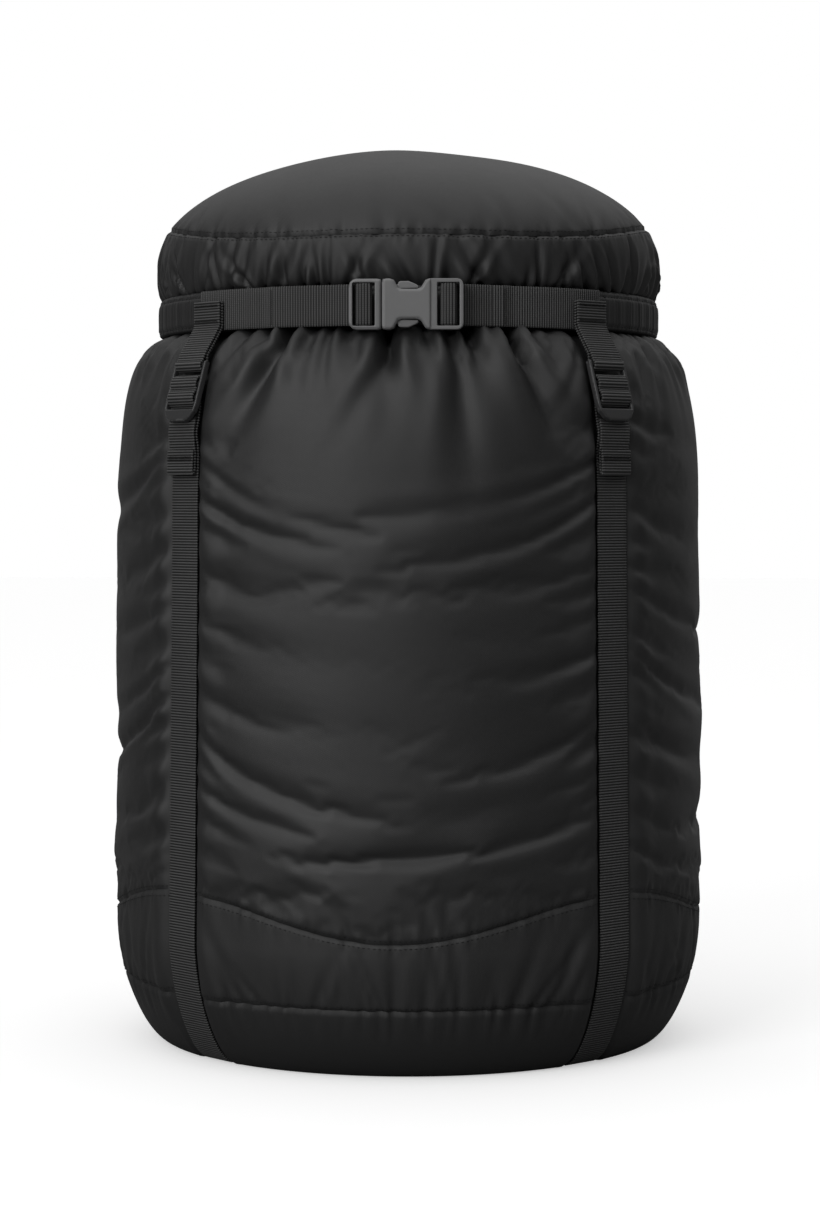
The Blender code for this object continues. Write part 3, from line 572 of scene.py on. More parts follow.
def stitches(name, line, normals):
    """A row of thread stitches along a line on the cloth, each sinking in at both ends."""
    length, thick = settings().cloth.stitch, settings().cloth.thread
    lengths = lengths_along(line)
    count = max(1, int(lengths[-1] / length))
    starts = (np.arange(count) + STITCH_GAP / 2) * lengths[-1] / count
    run = (1 - STITCH_GAP) * lengths[-1] / count

    def at(where, values):
        return np.stack([np.interp(where, lengths, values[:, n]) for n in range(3)], axis=-1)

    rings = []
    for share, radius, lift in STITCH_RINGS:
        where = starts + share * run
        here, out = at(where, line), unit(at(where, normals))
        along = unit(at(where + 0.0002, line) - at(where - 0.0002, line))
        side = np.cross(along, out)
        middle = here + out * lift * thick / 2
        for n in range(STITCH_SIDES):
            turn = FULL_TURN * n / STITCH_SIDES
            rings.append(middle + (side * math.cos(turn) + out * math.sin(turn)) * radius * thick / 2)
    points = np.stack(rings, axis=1).reshape(-1, 3)
    one = ring_faces(len(STITCH_RINGS), STITCH_SIDES)[2]
    each = len(STITCH_RINGS) * STITCH_SIDES
    faces = (one[None] + np.arange(count)[:, None, None] * each).reshape(-1, 4)
    return dress(link(name, mesh_of(name, points, faces)), thread_finish())


def stitch_ring(name, points, row):
    """A row of stitches right round a cloth grid, on one of its rows, which need not be whole."""
    low = int(math.floor(row))
    share = row - low
    line = points[low] * (1 - share) + points[min(low + 1, len(points) - 1)] * share
    out = grid_normals(points)[low]
    line, out = (np.concatenate([values, values[:1]]) for values in (line + out * STITCH_PROUD, out))
    return stitches(name, line, out)


def thread_line(name, line, out):
    """One unbroken thread along a line."""
    along = unit(np.gradient(line, axis=0))
    out = np.broadcast_to(np.asarray(out, float), line.shape)
    side = unit(np.cross(along, out))
    ring = [line + (side * math.cos(turn) + out * math.sin(turn)) * TACK_THREAD / 2
            for turn in all_round(STITCH_SIDES)]
    points = np.stack(ring, axis=1).reshape(-1, 3)
    faces = ring_faces(len(line), STITCH_SIDES)[2]
    return dress(link(name, mesh_of(name, points, faces)), thread_finish())


def bar_tack(name, centre, along, across, out, width, height=0.0012):
    """A dense zigzag of thread that fastens webbing down."""
    places = np.arange(-width / 2, width / 2 + TACK_PITCH / 2, TACK_PITCH)
    zigzag = [centre + along * place + across * (height / 2 if n % 2 else -height / 2)
              for n, place in enumerate(places)]
    return thread_line(name, np.array(zigzag), out)


# Finishes


def made_once(kind, name):
    """Lets a function make the block of this kind and name only when the file has none yet."""
    def wrap(make):
        def find():
            kept = getattr(bpy.data, kind)
            return kept[name] if name in kept else make(name)
        return find
    return wrap


def new_group(name, inputs, outputs):
    """An empty shader node group with named inputs, which have defaults, and named outputs."""
    tree = bpy.data.node_groups.new(name, "ShaderNodeTree")
    for socket, kind, default in inputs:
        made = tree.interface.new_socket(name=socket, in_out="INPUT", socket_type=f"NodeSocket{kind}")
        if default is not None:
            made.default_value = default
    for socket, kind in outputs:
        tree.interface.new_socket(name=socket, in_out="OUTPUT", socket_type=f"NodeSocket{kind}")
    return tree, tree.nodes.new("NodeGroupInput"), tree.nodes.new("NodeGroupOutput")


def math_node(tree, operation, *values):
    """A Math node whose inputs are sockets or plain numbers."""
    node = tree.nodes.new("ShaderNodeMath")
    node.operation = operation
    for n, value in enumerate(values):
        if isinstance(value, (int, float)):
            node.inputs[n].default_value = value
        else:
            tree.links.new(value, node.inputs[n])
    return node.outputs[0]


def noise_node(tree, scale, detail=3.0, vector=None):
    node = tree.nodes.new("ShaderNodeTexNoise")
    node.inputs["Scale"].default_value = scale
    node.inputs["Detail"].default_value = detail
    if vector is not None:
        tree.links.new(vector, node.inputs["Vector"])
    return node.outputs["Fac"]


def mix_node(tree, share, first, second):
    """A colour between two others."""
    node = tree.nodes.new("ShaderNodeMix")
    node.data_type = "RGBA"
    for value, socket in ((share, "Factor"), (first, "A"), (second, "B")):
        tree.links.new(value, node.inputs[socket])
    return node.outputs["Result"]


@made_once("node_groups", "Plain weave")
def weave_group(name):
    """Plain weave: threads that pass over and under each other, with uneven yarn."""
    tree, given, out = new_group(
        name,
        [("Cloth", "Vector", None), ("Pitch", "Float", 0.0005), ("Yarn", "Float", 0.35)],
        [("Height", "Float"), ("Streak", "Float")],
    )
    split = tree.nodes.new("ShaderNodeSeparateXYZ")
    tree.links.new(given.outputs["Cloth"], split.inputs[0])
    per_metre = math_node(tree, "DIVIDE", math.pi, given.outputs["Pitch"])
    waves = [math_node(tree, "SINE", math_node(tree, "MULTIPLY", split.outputs[n], per_metre))
             for n in (0, 1)]
    over = math_node(tree, "MULTIPLY", *waves)
    yarn = noise_node(tree, 1400.0, 2.0, given.outputs["Cloth"])
    uneven = math_node(tree, "MULTIPLY", yarn, given.outputs["Yarn"])
    tree.links.new(math_node(tree, "ADD", over, uneven), out.inputs["Height"])
    stretch = tree.nodes.new("ShaderNodeVectorMath")
    stretch.operation = "MULTIPLY"
    stretch.inputs[1].default_value = (1.0, 0.06, 1.0)
    tree.links.new(given.outputs["Cloth"], stretch.inputs[0])
    tree.links.new(noise_node(tree, 900.0, 3.0, stretch.outputs[0]), out.inputs["Streak"])
    return tree


@made_once("node_groups", "Uneven tone")
def tone_group(name):
    """Small changes of colour over a surface, from the dye, handling and dust."""
    tree, given, out = new_group(
        name,
        [("Colour", "Color", (0.04, 0.04, 0.04, 1)), ("Amount", "Float", 0.15), ("Scale", "Float", 12.0),
         ("Streak", "Float", 0.5), ("Roughness", "Float", 0.6)],
        [("Colour", "Color"), ("Roughness", "Float")],
    )
    place = tree.nodes.new("ShaderNodeTexCoord").outputs["Object"]
    broad = tree.nodes.new("ShaderNodeTexNoise")
    tree.links.new(place, broad.inputs["Vector"])
    tree.links.new(given.outputs["Scale"], broad.inputs["Scale"])
    broad.inputs["Detail"].default_value = 4.0
    fine = noise_node(tree, 420.0, 2.0, place)
    mixed = math_node(tree, "ADD", broad.outputs["Fac"], math_node(tree, "MULTIPLY", fine, 0.35))
    mixed = math_node(tree, "ADD", mixed, math_node(tree, "MULTIPLY", given.outputs["Streak"], 0.35))
    centred = math_node(tree, "SUBTRACT", mixed, 0.85)
    factor = math_node(tree, "ADD", math_node(tree, "MULTIPLY", centred, given.outputs["Amount"]), 1.0)
    scale = tree.nodes.new("ShaderNodeVectorMath")
    scale.operation = "SCALE"
    tree.links.new(given.outputs["Colour"], scale.inputs[0])
    tree.links.new(factor, scale.inputs["Scale"])
    tree.links.new(scale.outputs[0], out.inputs["Colour"])
    rough = math_node(tree, "MULTIPLY", centred, 0.20)
    tree.links.new(math_node(tree, "ADD", given.outputs["Roughness"], rough), out.inputs["Roughness"])
    return tree


@made_once("node_groups", "Edge wear")
def wear_and_highlight_group(name):
    """Where corners are lighter, from how sharply the surface turns: rubbed wear, and on the moulded plastic
    also a painted highlight along its edges and rails.
    """
    tree, given, out = new_group(
        name,
        [("Colour", "Color", (0.03, 0.03, 0.03, 1)), ("Worn", "Color", (0.09, 0.09, 0.09, 1)),
         ("Amount", "Float", 0.5)],
        [("Colour", "Color")],
    )
    turn = tree.nodes.new("ShaderNodeNewGeometry").outputs["Pointiness"]
    ramp = tree.nodes.new("ShaderNodeMapRange")
    ramp.inputs["From Min"].default_value = 0.52
    ramp.inputs["From Max"].default_value = 0.60
    tree.links.new(turn, ramp.inputs["Value"])
    patchy = math_node(tree, "MULTIPLY", ramp.outputs[0], noise_node(tree, 260.0, 3.0))
    share = math_node(tree, "MULTIPLY", patchy, given.outputs["Amount"])
    mixed = mix_node(tree, share, given.outputs["Colour"], given.outputs["Worn"])
    tree.links.new(mixed, out.inputs["Colour"])
    return tree


@made_once("node_groups", "Webbing ribs")
def rib_shading_group(name):
    """Ribs across webbing, with painted shade and highlight: dark in the grooves as painted shade, and
    lighter on the crests as a painted highlight broken into separate yarn glints.
    """
    tree, given, out = new_group(
        name,
        [("Cloth", "Vector", None), ("Pitch", "Float", 0.00138), ("Crest", "Color", (0.06, 0.06, 0.06, 1)),
         ("Groove_shade", "Color", (0.004, 0.004, 0.004, 1))],
        [("Colour", "Color"), ("Height", "Float")],
    )
    split = tree.nodes.new("ShaderNodeSeparateXYZ")
    tree.links.new(given.outputs["Cloth"], split.inputs[0])
    turns = math_node(tree, "DIVIDE", math_node(tree, "MULTIPLY", split.outputs[1], FULL_TURN),
                      given.outputs["Pitch"])
    # Painted light: the colour runs from painted shade in each groove up to a painted highlight on each
    # rib's crest
    crest = math_node(tree, "MULTIPLY_ADD", math_node(tree, "COSINE", turns), -0.5, 0.5)
    # Painted glints along the separate yarns of each crest
    yarn_glint = math_node(tree, "MULTIPLY_ADD", math_node(tree, "SINE", math_node(
        tree, "MULTIPLY", split.outputs[0], FULL_TURN / 0.0009)), 0.22, 0.78)
    share = math_node(tree, "MULTIPLY", crest, yarn_glint)
    mixed = mix_node(tree, share, given.outputs["Groove_shade"], given.outputs["Crest"])
    tree.links.new(mixed, out.inputs["Colour"])
    tree.links.new(math_node(tree, "ADD", share, math_node(
        tree, "MULTIPLY", noise_node(tree, 2600.0, 2.0, given.outputs["Cloth"]), 0.5)), out.inputs["Height"])
    return tree


def place_group(tree, group, **values):
    node = tree.nodes.new("ShaderNodeGroup")
    node.node_tree = group
    for name, value in values.items():
        node.inputs[name].default_value = value
    return node


def new_finish(name):
    """A material with its Principled shader."""
    made = bpy.data.materials.new(name)
    made.use_nodes = True
    return made, made.node_tree, made.node_tree.nodes["Principled BSDF"]


def bumped(tree, shader, height, distance, strength=1.0):
    bump = tree.nodes.new("ShaderNodeBump")
    bump.inputs["Distance"].default_value = distance
    bump.inputs["Strength"].default_value = strength
    tree.links.new(height, bump.inputs["Height"])
    tree.links.new(bump.outputs["Normal"], shader.inputs["Normal"])


def laid_over(tree, group):
    """Lays a group over the cloth by its unwrapped length and breadth in metres."""
    over = tree.nodes.new("ShaderNodeUVMap")
    over.uv_map = "weave"
    tree.links.new(over.outputs["UV"], group.inputs["Cloth"])
    return group


def toned(tree, shader, colour=None, **values):
    """Feeds a shader from the uneven tone group, whose colour is a socket or one of the values."""
    tone = place_group(tree, tone_group(), **values)
    if colour is not None:
        tree.links.new(colour, tone.inputs["Colour"])
    tree.links.new(tone.outputs["Colour"], shader.inputs["Base Color"])
    tree.links.new(tone.outputs["Roughness"], shader.inputs["Roughness"])
    return tone


def cloth_finish(name, colour, roughness=0.54):
    """Coated nylon: a fine plain weave with a low sheen."""
    if name in bpy.data.materials:
        return bpy.data.materials[name]
    made, tree, shader = new_finish(name)
    weave = laid_over(tree, place_group(tree, weave_group(), Pitch=0.00045, Yarn=0.6))
    tone = toned(tree, shader, Colour=(*colour, 1), Amount=0.30, Scale=9.0, Roughness=roughness)
    tree.links.new(weave.outputs["Streak"], tone.inputs["Streak"])
    bumped(tree, shader, weave.outputs["Height"], 0.00004, 0.8)
    shader.inputs["Specular IOR Level"].default_value = 0.8
    return made


def sack_finish():
    return cloth_finish("sack nylon", settings().finish.cloth)


def boot_finish():
    return cloth_finish("boot nylon", settings().finish.boot, 0.62)


@made_once("materials", "ribbed webbing")
def webbing_finish(name):
    """Ribbed nylon webbing, with painted shade in its grooves and painted highlights on the fine yarns along
    each rib.
    """
    made, tree, shader = new_finish(name)
    ribs = laid_over(tree, place_group(tree, rib_shading_group(), Pitch=settings().webbing.rib_pitch,
                                       Crest=(*settings().finish.webbing, 1)))
    toned(tree, shader, ribs.outputs["Colour"], Amount=0.30, Scale=60.0, Roughness=0.55)
    bumped(tree, shader, ribs.outputs["Height"], 0.0002, 0.9)
    shader.inputs["Specular IOR Level"].default_value = 0.45
    return made


@made_once("materials", "sewing thread")
def thread_finish(name):
    made, tree, shader = new_finish(name)
    toned(tree, shader, Colour=(*settings().finish.thread, 1), Amount=0.4, Scale=200.0, Roughness=0.6)
    bumped(tree, shader, noise_node(tree, 4200.0, 1.0), 0.00005, 0.6)
    return made


def plastic_finish(name, colour):
    """Satin moulded plastic with a fine spark grain, and corners lightened as rubbed wear and as a painted
    highlight.
    """
    if name in bpy.data.materials:
        return bpy.data.materials[name]
    made, tree, shader = new_finish(name)
    # Lighter colour for the corners: rubbed wear, and a painted highlight along the edges and rails
    highlit_and_worn = tuple(min(1, 1.8 * value + 0.11) for value in colour)
    wear = place_group(tree, wear_and_highlight_group(), Colour=(*colour, 1), Worn=(*highlit_and_worn, 1), Amount=0.7)
    toned(tree, shader, wear.outputs["Colour"], Amount=0.14, Scale=40.0, Roughness=0.34)
    bumped(tree, shader, noise_node(tree, 2600.0, 2.0), 0.00003, 0.6)
    return made


@made_once("materials", "covered elastic")
def elastic_finish(name):
    made, tree, shader = new_finish(name)
    toned(tree, shader, Colour=(0.10, 0.10, 0.10, 1), Amount=0.3, Scale=80.0, Roughness=0.8)
    bumped(tree, shader, noise_node(tree, 1500.0, 2.0), 0.0001, 0.6)
    return made


@made_once("materials", "blackened brass")
def eyelet_finish(name):
    made, tree, shader = new_finish(name)
    wear = place_group(tree, wear_and_highlight_group(), Colour=(0.05, 0.05, 0.05, 1), Worn=(0.20, 0.17, 0.11, 1),
                       Amount=0.6)
    tree.links.new(wear.outputs["Colour"], shader.inputs["Base Color"])
    shader.inputs["Roughness"].default_value = 0.34
    shader.inputs["Metallic"].default_value = 0.8
    bumped(tree, shader, noise_node(tree, 900.0, 2.0), 0.00003, 0.5)
    return made


# Cloth that the stuffing presses out


STUFFING_PRESSURE = 3.0
CLOTH_SLACK = 0.009
SETTLE_STEPS = 20
SETTLE_MOST = 0.0060  # no point moves further


def settle(points, pinned):
    """Lets pressure from inside fill the cloth between its pinned seams and straps."""
    obj = link("stuffing", sheet_mesh("stuffing", points))
    group = obj.vertex_groups.new(name="pinned")
    for level in np.unique(np.round(pinned[pinned > 0.01], 2)):
        members = np.flatnonzero(np.round(pinned.ravel(), 2) == level)
        group.add(members.tolist(), float(level), "REPLACE")
    cloth = obj.modifiers.new("Cloth", "CLOTH")
    held = cloth.settings
    held.vertex_group_mass = group.name
    held.quality = 5
    held.mass = 0.08
    held.tension_stiffness = held.compression_stiffness = 18
    held.shear_stiffness = 4
    held.bending_stiffness = 0.4
    held.use_pressure = True
    held.uniform_pressure_force = STUFFING_PRESSURE
    held.shrink_min = -CLOTH_SLACK
    held.effector_weights.gravity = 0
    cloth.collision_settings.use_collision = False
    cloth.point_cache.frame_start, cloth.point_cache.frame_end = 1, SETTLE_STEPS
    scene = bpy.context.scene
    for step in range(1, SETTLE_STEPS + 1):
        scene.frame_set(step)
    evaluated = obj.evaluated_get(bpy.context.evaluated_depsgraph_get())
    moved = np.empty(points.size, np.float32)
    evaluated.data.vertices.foreach_get("co", moved)
    bpy.data.objects.remove(obj, do_unlink=True)
    scene.frame_set(1)
    shift = moved.reshape(points.shape).astype(float) - points
    far = np.linalg.norm(shift, axis=2, keepdims=True)
    return points + shift * np.minimum(1, SETTLE_MOST / np.maximum(far, 1e-9))


# Webbing


# The webbing's section: shares of its half width, its thickness there, and the height of each row of a rib
ACROSS = np.array([-1, -0.985, -0.93, -0.6, -0.2, 0.2, 0.6, 0.93, 0.985, 1])
EDGE = np.array([0.40, 0.80, 1, 1, 1, 1, 1, 1, 0.80, 0.40])
RIB = np.array([0.0, 0.72, 1.0, 0.72])
ROWS_PER_RIB = len(RIB)


def rib_rows(points):
    """A smooth path cut into the rows that the ribs need."""
    return spaced(smooth(points, 16), settings().webbing.rib_pitch / ROWS_PER_RIB)


def webbing(name, path, across, phase=0):
    """Ribbed webbing along rows of a path in the plane square to `across`."""
    web = settings().webbing
    along = unit(np.gradient(path, axis=0))
    out = unit(np.cross(along, across))
    rib = RIB[(np.arange(len(path)) + phase) % ROWS_PER_RIB]
    half = web.thickness / 2 - web.rib_height * (1 - rib)
    reach = web.width / 2 - 0.00022 * (1 - rib)
    sides = []
    for face in (1, -1):
        flat, edge = (ACROSS, EDGE) if face == 1 else (ACROSS[::-1], EDGE[::-1])
        offset = face * half[:, None] * edge
        sides.append(path[:, None] + out[:, None] * offset[..., None]
                     + across * (reach[:, None] * flat)[..., None])
    points = np.concatenate(sides, axis=1)
    rows, columns = points.shape[:2]
    row, column, faces = ring_faces(rows, columns)
    faces = faces[:, [0, 3, 2, 1]].tolist()
    faces += [list(range(columns)), [(rows - 1) * columns + n for n in range(columns)][::-1]]
    girth = np.concatenate([ACROSS, ACROSS[::-1] + 2 + ACROSS[-1]]) * web.width / 2
    left, right = girth[column], girth[(column + 1) % columns]
    low, high = ((row + phase + n) * web.rib_pitch / ROWS_PER_RIB for n in (0, 1))
    uvs = np.stack([left, low, left, high, right, high, right, low], axis=-1).reshape(-1, 2)
    uvs = np.concatenate([uvs, np.zeros((2 * columns, 2))])
    return dress(link(name, mesh_of(name, points.reshape(-1, 3), faces, uvs)), webbing_finish())


def in_plane(bearing, places):
    """Radius and height pairs in the upright plane at a bearing, as points."""
    return turned(bearing, *np.asarray(places, float).T)


def beside(path, offset):
    """A line that keeps to one side of a path in a plane."""
    path = np.array(path, float)
    along = unit(np.gradient(path, axis=0))
    return path + offset * np.stack([along[:, 1], -along[:, 0]], axis=1)


def layer():
    return settings().webbing.thickness + GAP


def from_lock(down, out):
    """A place in a ladder lock's frame, as radius and height."""
    radius = LOCK_BAR_RADIUS_AT + down * math.sin(LOCK_TILT) + out * math.cos(LOCK_TILT)
    height = LOCK_BAR_HEIGHT - down * math.cos(LOCK_TILT) + out * math.sin(LOCK_TILT)
    return radius, height


def lock_threading():
    """The webbing's way through a ladder lock, from the loaded strand to the free one behind the lip."""
    half = settings().webbing.thickness / 2
    over_bar = LOCK_GRIP_RADIUS + GAP + half
    upper, lower = LOCK_GRIP_BARS
    under = -(LOCK_RAIL_DEPTH / 2 + GAP + half)
    lip = LOCK_LIP_START
    return [
        from_lock(*place) for place in (
            (lip + 0.0034, under - layer()),
            (lower + 0.0040, under - layer() * 0.55),
            (lower, -over_bar - 0.0003),
            (upper, -over_bar - 0.0002),
            (upper - 0.0030, -0.0014),
            (upper - 0.0036, 0.0000),
            (upper - 0.0029, 0.0016),
            (upper - 0.0012, over_bar),
            (upper + 0.0012, over_bar),
            ((upper + lower) / 2, over_bar * 0.55),
            (lower - 0.0012, over_bar),
            (lower + 0.0012, over_bar),
            (lower + 0.0031, 0.0010),
            (lower + 0.0042, -0.0008),
            (lip - 0.0010, under + 0.0002),
        )
    ]


def strand_on_cloth(length, raised=0.0):
    """The middle of a strap that lies in its channel."""
    return SACK.inside(length, STRAP_SINK - GAP - settings().webbing.thickness / 2 + raised)


def strap_end_top():
    """Where the sewn end starts, as a length up the sack."""
    return SACK.length_at(from_lock(LOCK_LENGTH, 0)[1] - STRAP_END_DROP)


def loaded_strand(raised):
    """A long strap from beside the middle of the base up to the sewn end's height."""
    starts = (0.0115, 0.0180, 0.045, 0.085, BASE_FLAT_RADIUS - 0.010)
    turn = np.linspace(BASE_FLAT_RADIUS, SACK.length_at(BELLY_HEIGHT), 9)
    wall = np.linspace(turn[-1], strap_end_top(), 12)[1:]
    return [strand_on_cloth(starts[0], raised),
            *(strand_on_cloth(length) for length in (*starts[1:], *turn, *wall))]


def split_rows(path, height):
    """How many rows of a rising path lie under this height."""
    return int(np.argmax(path[:, 2] > height))


def long_straps():
    """Both straps under the base: each is cut into a middle piece and an end piece at each lock."""
    reach_lock = from_lock(LOCK_LENGTH + 0.005, -LOCK_RAIL_DEPTH / 2 - 2.1 * layer())
    straps = (("front_left", "back_right", 0.0), ("front_right", "back_left", layer()))
    for first, second, raised in straps:
        across = ahead(BEARINGS[first] + math.pi / 2)
        middle = strand_on_cloth(0, raised)
        strand = [*loaded_strand(raised), reach_lock, *lock_threading()]
        far = [(-radius, height) for radius, height in strand]
        path = rib_rows(in_plane(BEARINGS[first], [*reversed(far), middle, *strand]))
        low = len(path) // 2
        split = WALL_BEND["end"][2] + 0.003
        up, down = low + split_rows(path[low:], split), low - split_rows(path[low::-1], split)
        name = f"{first}_to_{second}_strap"
        strap = webbing(name, path[down:up + 1], across, phase=down)
        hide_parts(f"strap_{first}_to_{second}")
        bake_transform(strap)
        for corner, rows, phase in ((first, path[up:], up), (second, path[:down + 1], 0)):
            piece = webbing(f"strap_in_lock_{corner}", rows, across, phase=phase)
            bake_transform(piece)


def tail_rows(corner):
    """Rows of the free tail: packed behind the lip, so that they are even when the strap is drawn out."""
    row_step = settings().webbing.rib_pitch / ROWS_PER_RIB
    weights = np.linspace(0, 1, int(PACKED_LENGTH / row_step) // ROWS_PER_RIB * ROWS_PER_RIB)
    share = 0.5 - np.sin(np.arcsin(1 - 2 * weights) / 3)
    under = -(LOCK_RAIL_DEPTH / 2 + GAP + settings().webbing.thickness / 2)
    end = SACK.inside(strap_end_top(), STRAP_SINK - GAP - settings().webbing.thickness / 2 - layer() - GAP)
    line = smooth([from_lock(LOCK_LIP_START - 0.0010, under), from_lock(LOCK_LIP_START + 0.0034, under),
                   from_lock(LOCK_LENGTH, under), from_lock(LOCK_LENGTH + 0.005, under - 0.0008), end], 12)
    packed = PACKED_TOP - (PACKED_TOP - PACKED_LOW) * share
    loose = np.arange(PACKED_LOW, end[1], -row_step)[1:]
    heights = np.concatenate([packed, loose])
    radius = np.interp(-heights, -line[:, 1], line[:, 0])
    return in_plane(BEARINGS[corner], np.stack([radius, heights], axis=1))


def strap_ends():
    """The free tail at each lock, and the end that is folded over and sewn."""
    thick = settings().webbing.thickness
    for corner, bearing in BEARINGS.items():
        across = ahead(bearing + math.pi / 2)
        tail = webbing(f"tail_{corner}", tail_rows(corner), across)
        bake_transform(tail)
        top = strap_end_top()
        centre = STRAP_SINK - GAP - thick - GAP - STRAP_END_FOLD / 2
        lengths = np.linspace(top + 0.0010, top - STRAP_END_LENGTH, 7)
        line = np.array([SACK.inside(length, centre) for length in lengths])
        apart = (STRAP_END_FOLD - thick) / 2
        outer, inner = beside(line, -apart), beside(line[:-1], apart)
        tip = line[-1] + unit(line[-1] - line[-2]) * apart * 0.9
        fold = rib_rows(in_plane(bearing, [*outer, tip, *inner[::-1]]))
        folded = webbing(f"sewn_end_{corner}", fold, across)
        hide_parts(f"strap_end_{corner}")
        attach(folded, f"end_{corner}")
        out = ahead(bearing)
        at = in_plane(bearing, [line[2] + np.array([1, 0.05]) * (STRAP_END_FOLD / 2 + 0.0001)])[0]
        for n, drop in enumerate((0.0, 0.0013)):
            tack = bar_tack(f"end_stitch_{corner}_{n + 1}", at - UP * drop, across, UP, out,
                            settings().webbing.width * 0.94, height=0.0008)
            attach(tack, f"end_{corner}")


def lid_straps():
    """Doubled webbing at each corner, tacked to the hem and looped round its lock's fixed bar."""
    thick = settings().webbing.thickness
    for corner, bearing in BEARINGS.items():
        over_belt = layer() if "front" in corner else 0
        seat = HEM_RADIUS + GAP + over_belt + thick + GAP / 2
        doubled = smooth([(seat, LID_STRAP_TOP), (seat, HEM_BOTTOM + 0.004), (seat + 0.0008, HEM_BOTTOM),
                          from_lock(-0.0060, 0)])
        inner, outer = beside(doubled, layer() / 2), beside(doubled, -layer() / 2)
        reach = LOCK_BAR_RADIUS + GAP + thick / 2
        turns = np.radians(np.linspace(40, 320, 12))
        loop = [from_lock(-reach * math.cos(turn), -reach * math.sin(turn)) for turn in turns]
        across = ahead(bearing + math.pi / 2)
        rows = rib_rows(in_plane(bearing, [*inner, *loop, *outer[::-1]]))
        strap = webbing(f"{corner}_lid_strap", rows, across)
        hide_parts(f"lid_strap_{corner}")
        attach(strap, "lid")
        out = ahead(bearing)
        for n, height in enumerate((LID_STRAP_TOP - 0.0022, HEM_BOTTOM + 0.0040)):
            face = out * (seat + layer() / 2 + thick / 2) + UP * height
            tack = bar_tack(f"lid_strap_tack_{corner}_{n + 1}", face, across, UP, out,
                            settings().webbing.width * 0.9)
            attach(tack, "lid")


def belt_path(side, bar_x, tail_bearing):
    """Half of the belt: from under a lid strap, round the hem, through the buckle and back under itself."""
    thick = settings().webbing.thickness
    bar_out = HEM_RADIUS + BUCKLE_STANDOFF
    outer_bar = BELT_BAR_LENGTH / 2 + SLOT_ROOM + FRAME_BAR / 2
    seat = HEM_RADIUS + GAP + thick / 2
    round_x = BELT_BAR_LENGTH / 2 + 1.6 * GAP + thick / 2
    round_out = BELT_BAR_DEPTH / 2 + 1.6 * GAP + thick / 2
    under = FRAME_THICKNESS / 2 + GAP + thick / 2
    leave = math.asin((abs(bar_x) + outer_bar) / HEM_RADIUS) + math.radians(5.5)
    step = math.radians(4)

    def on_hem(start, end, radius, count):
        return [ahead(side * bearing) * radius for bearing in np.linspace(start, end, count)]

    def at_bar(along, out):
        return np.array([bar_x + side * along, -(bar_out + out), 0])

    corner_x, corner_out = round_x - 0.00045, round_out - 0.00055
    turn = (
        (outer_bar, -under),
        (outer_bar - FRAME_BAR / 2 - 0.0008, -under + 0.0001),
        (round_x + 0.0002, -round_out + 0.0008),
        (round_x, 0),
        (corner_x, corner_out),
        (round_x - 0.0017, round_out),
        (0.0017 - round_x, round_out),
        (-corner_x, corner_out),
        (-round_x, 0),
        (0.0002 - round_x, -round_out),
        (0.0006 - round_x, -under - layer() * 0.2),
        (0.0014, -under - layer() * 0.95),
        (outer_bar, -under - layer() * 1.1),
    )
    path = on_hem(BELT_SEWN_ANGLE, tail_bearing + step, seat, 9)
    path += on_hem(tail_bearing + step / 3, leave, seat + layer(), 6)
    path += [at_bar(along, out) for along, out in turn]
    path += on_hem(leave + math.radians(0.5), tail_bearing, seat, 3)
    return rib_rows(np.array(path) + np.array([0, 0, BELT_HEIGHT]))


def with_belt(obj, side):
    """The right half stays on the lid, and the left half is baked where it lies, on no body."""
    if side == -1:
        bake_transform(obj)
    else:
        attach(obj, "lid")


def belt():
    """Both halves of the belt, with the tacks that fasten their tails."""
    right_bar = BUCKLE_X + MOUTH_X + SOCKET_BAR_FROM_MOUTH
    left_bar = BUCKLE_X + MOUTH_X - PLUG_BAR_FROM_MOUTH
    for name, side, bar_x, tail in (("right_belt", 1, right_bar, BELT_TAIL_RIGHT),
                                    ("left_belt", -1, left_bar, BELT_TAIL_LEFT)):
        half = webbing(name, belt_path(side, bar_x, tail), UP * side)
        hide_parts("belt_right" if side == 1 else "belt_left")
        with_belt(half, side)
        proud = HEM_RADIUS + GAP + layer() * 2 + 0.0001
        bearing = side * (tail + math.radians(1.5))
        out, along = ahead(bearing), ahead(bearing + math.pi / 2)
        tack = bar_tack(f"{name}_tack", out * (proud - layer() * 0.1) + UP * BELT_HEIGHT, UP, along, out,
                        settings().webbing.width * 0.86)
        with_belt(tack, side)


# Moulded hardware


def moulded(name, node, body, material):
    """A frame solid rebuilt from fine cells, so that its edges are rounded as moulded ones are."""
    source = bpy.data.objects[node]
    mesh = source.data.copy()
    mesh.transform(source.matrix_world)
    mesh.name = name
    obj = link(name, mesh)
    remesh = obj.modifiers.new("Remesh", "REMESH")
    remesh.mode = "VOXEL"
    remesh.voxel_size = settings().hardware.grain
    remesh.use_smooth_shade = True
    soften = obj.modifiers.new("Smooth", "SMOOTH")
    soften.iterations = settings().hardware.rounding
    soften.factor = 0.5
    evaluated = obj.evaluated_get(bpy.context.evaluated_depsgraph_get())
    obj.data = bpy.data.meshes.new_from_object(evaluated)
    obj.modifiers.clear()
    obj.data.name = name
    obj.data.shade_smooth()
    dress(obj, material)
    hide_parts(node)
    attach(obj, body)


# Cloth pieces


def strap_distance(bearing, radius):
    """How far each place is from the middle line of the nearest strap."""
    gaps = np.abs(between(bearing[..., None], STRAP_BEARINGS)).min(axis=-1)
    return np.sin(gaps) * radius


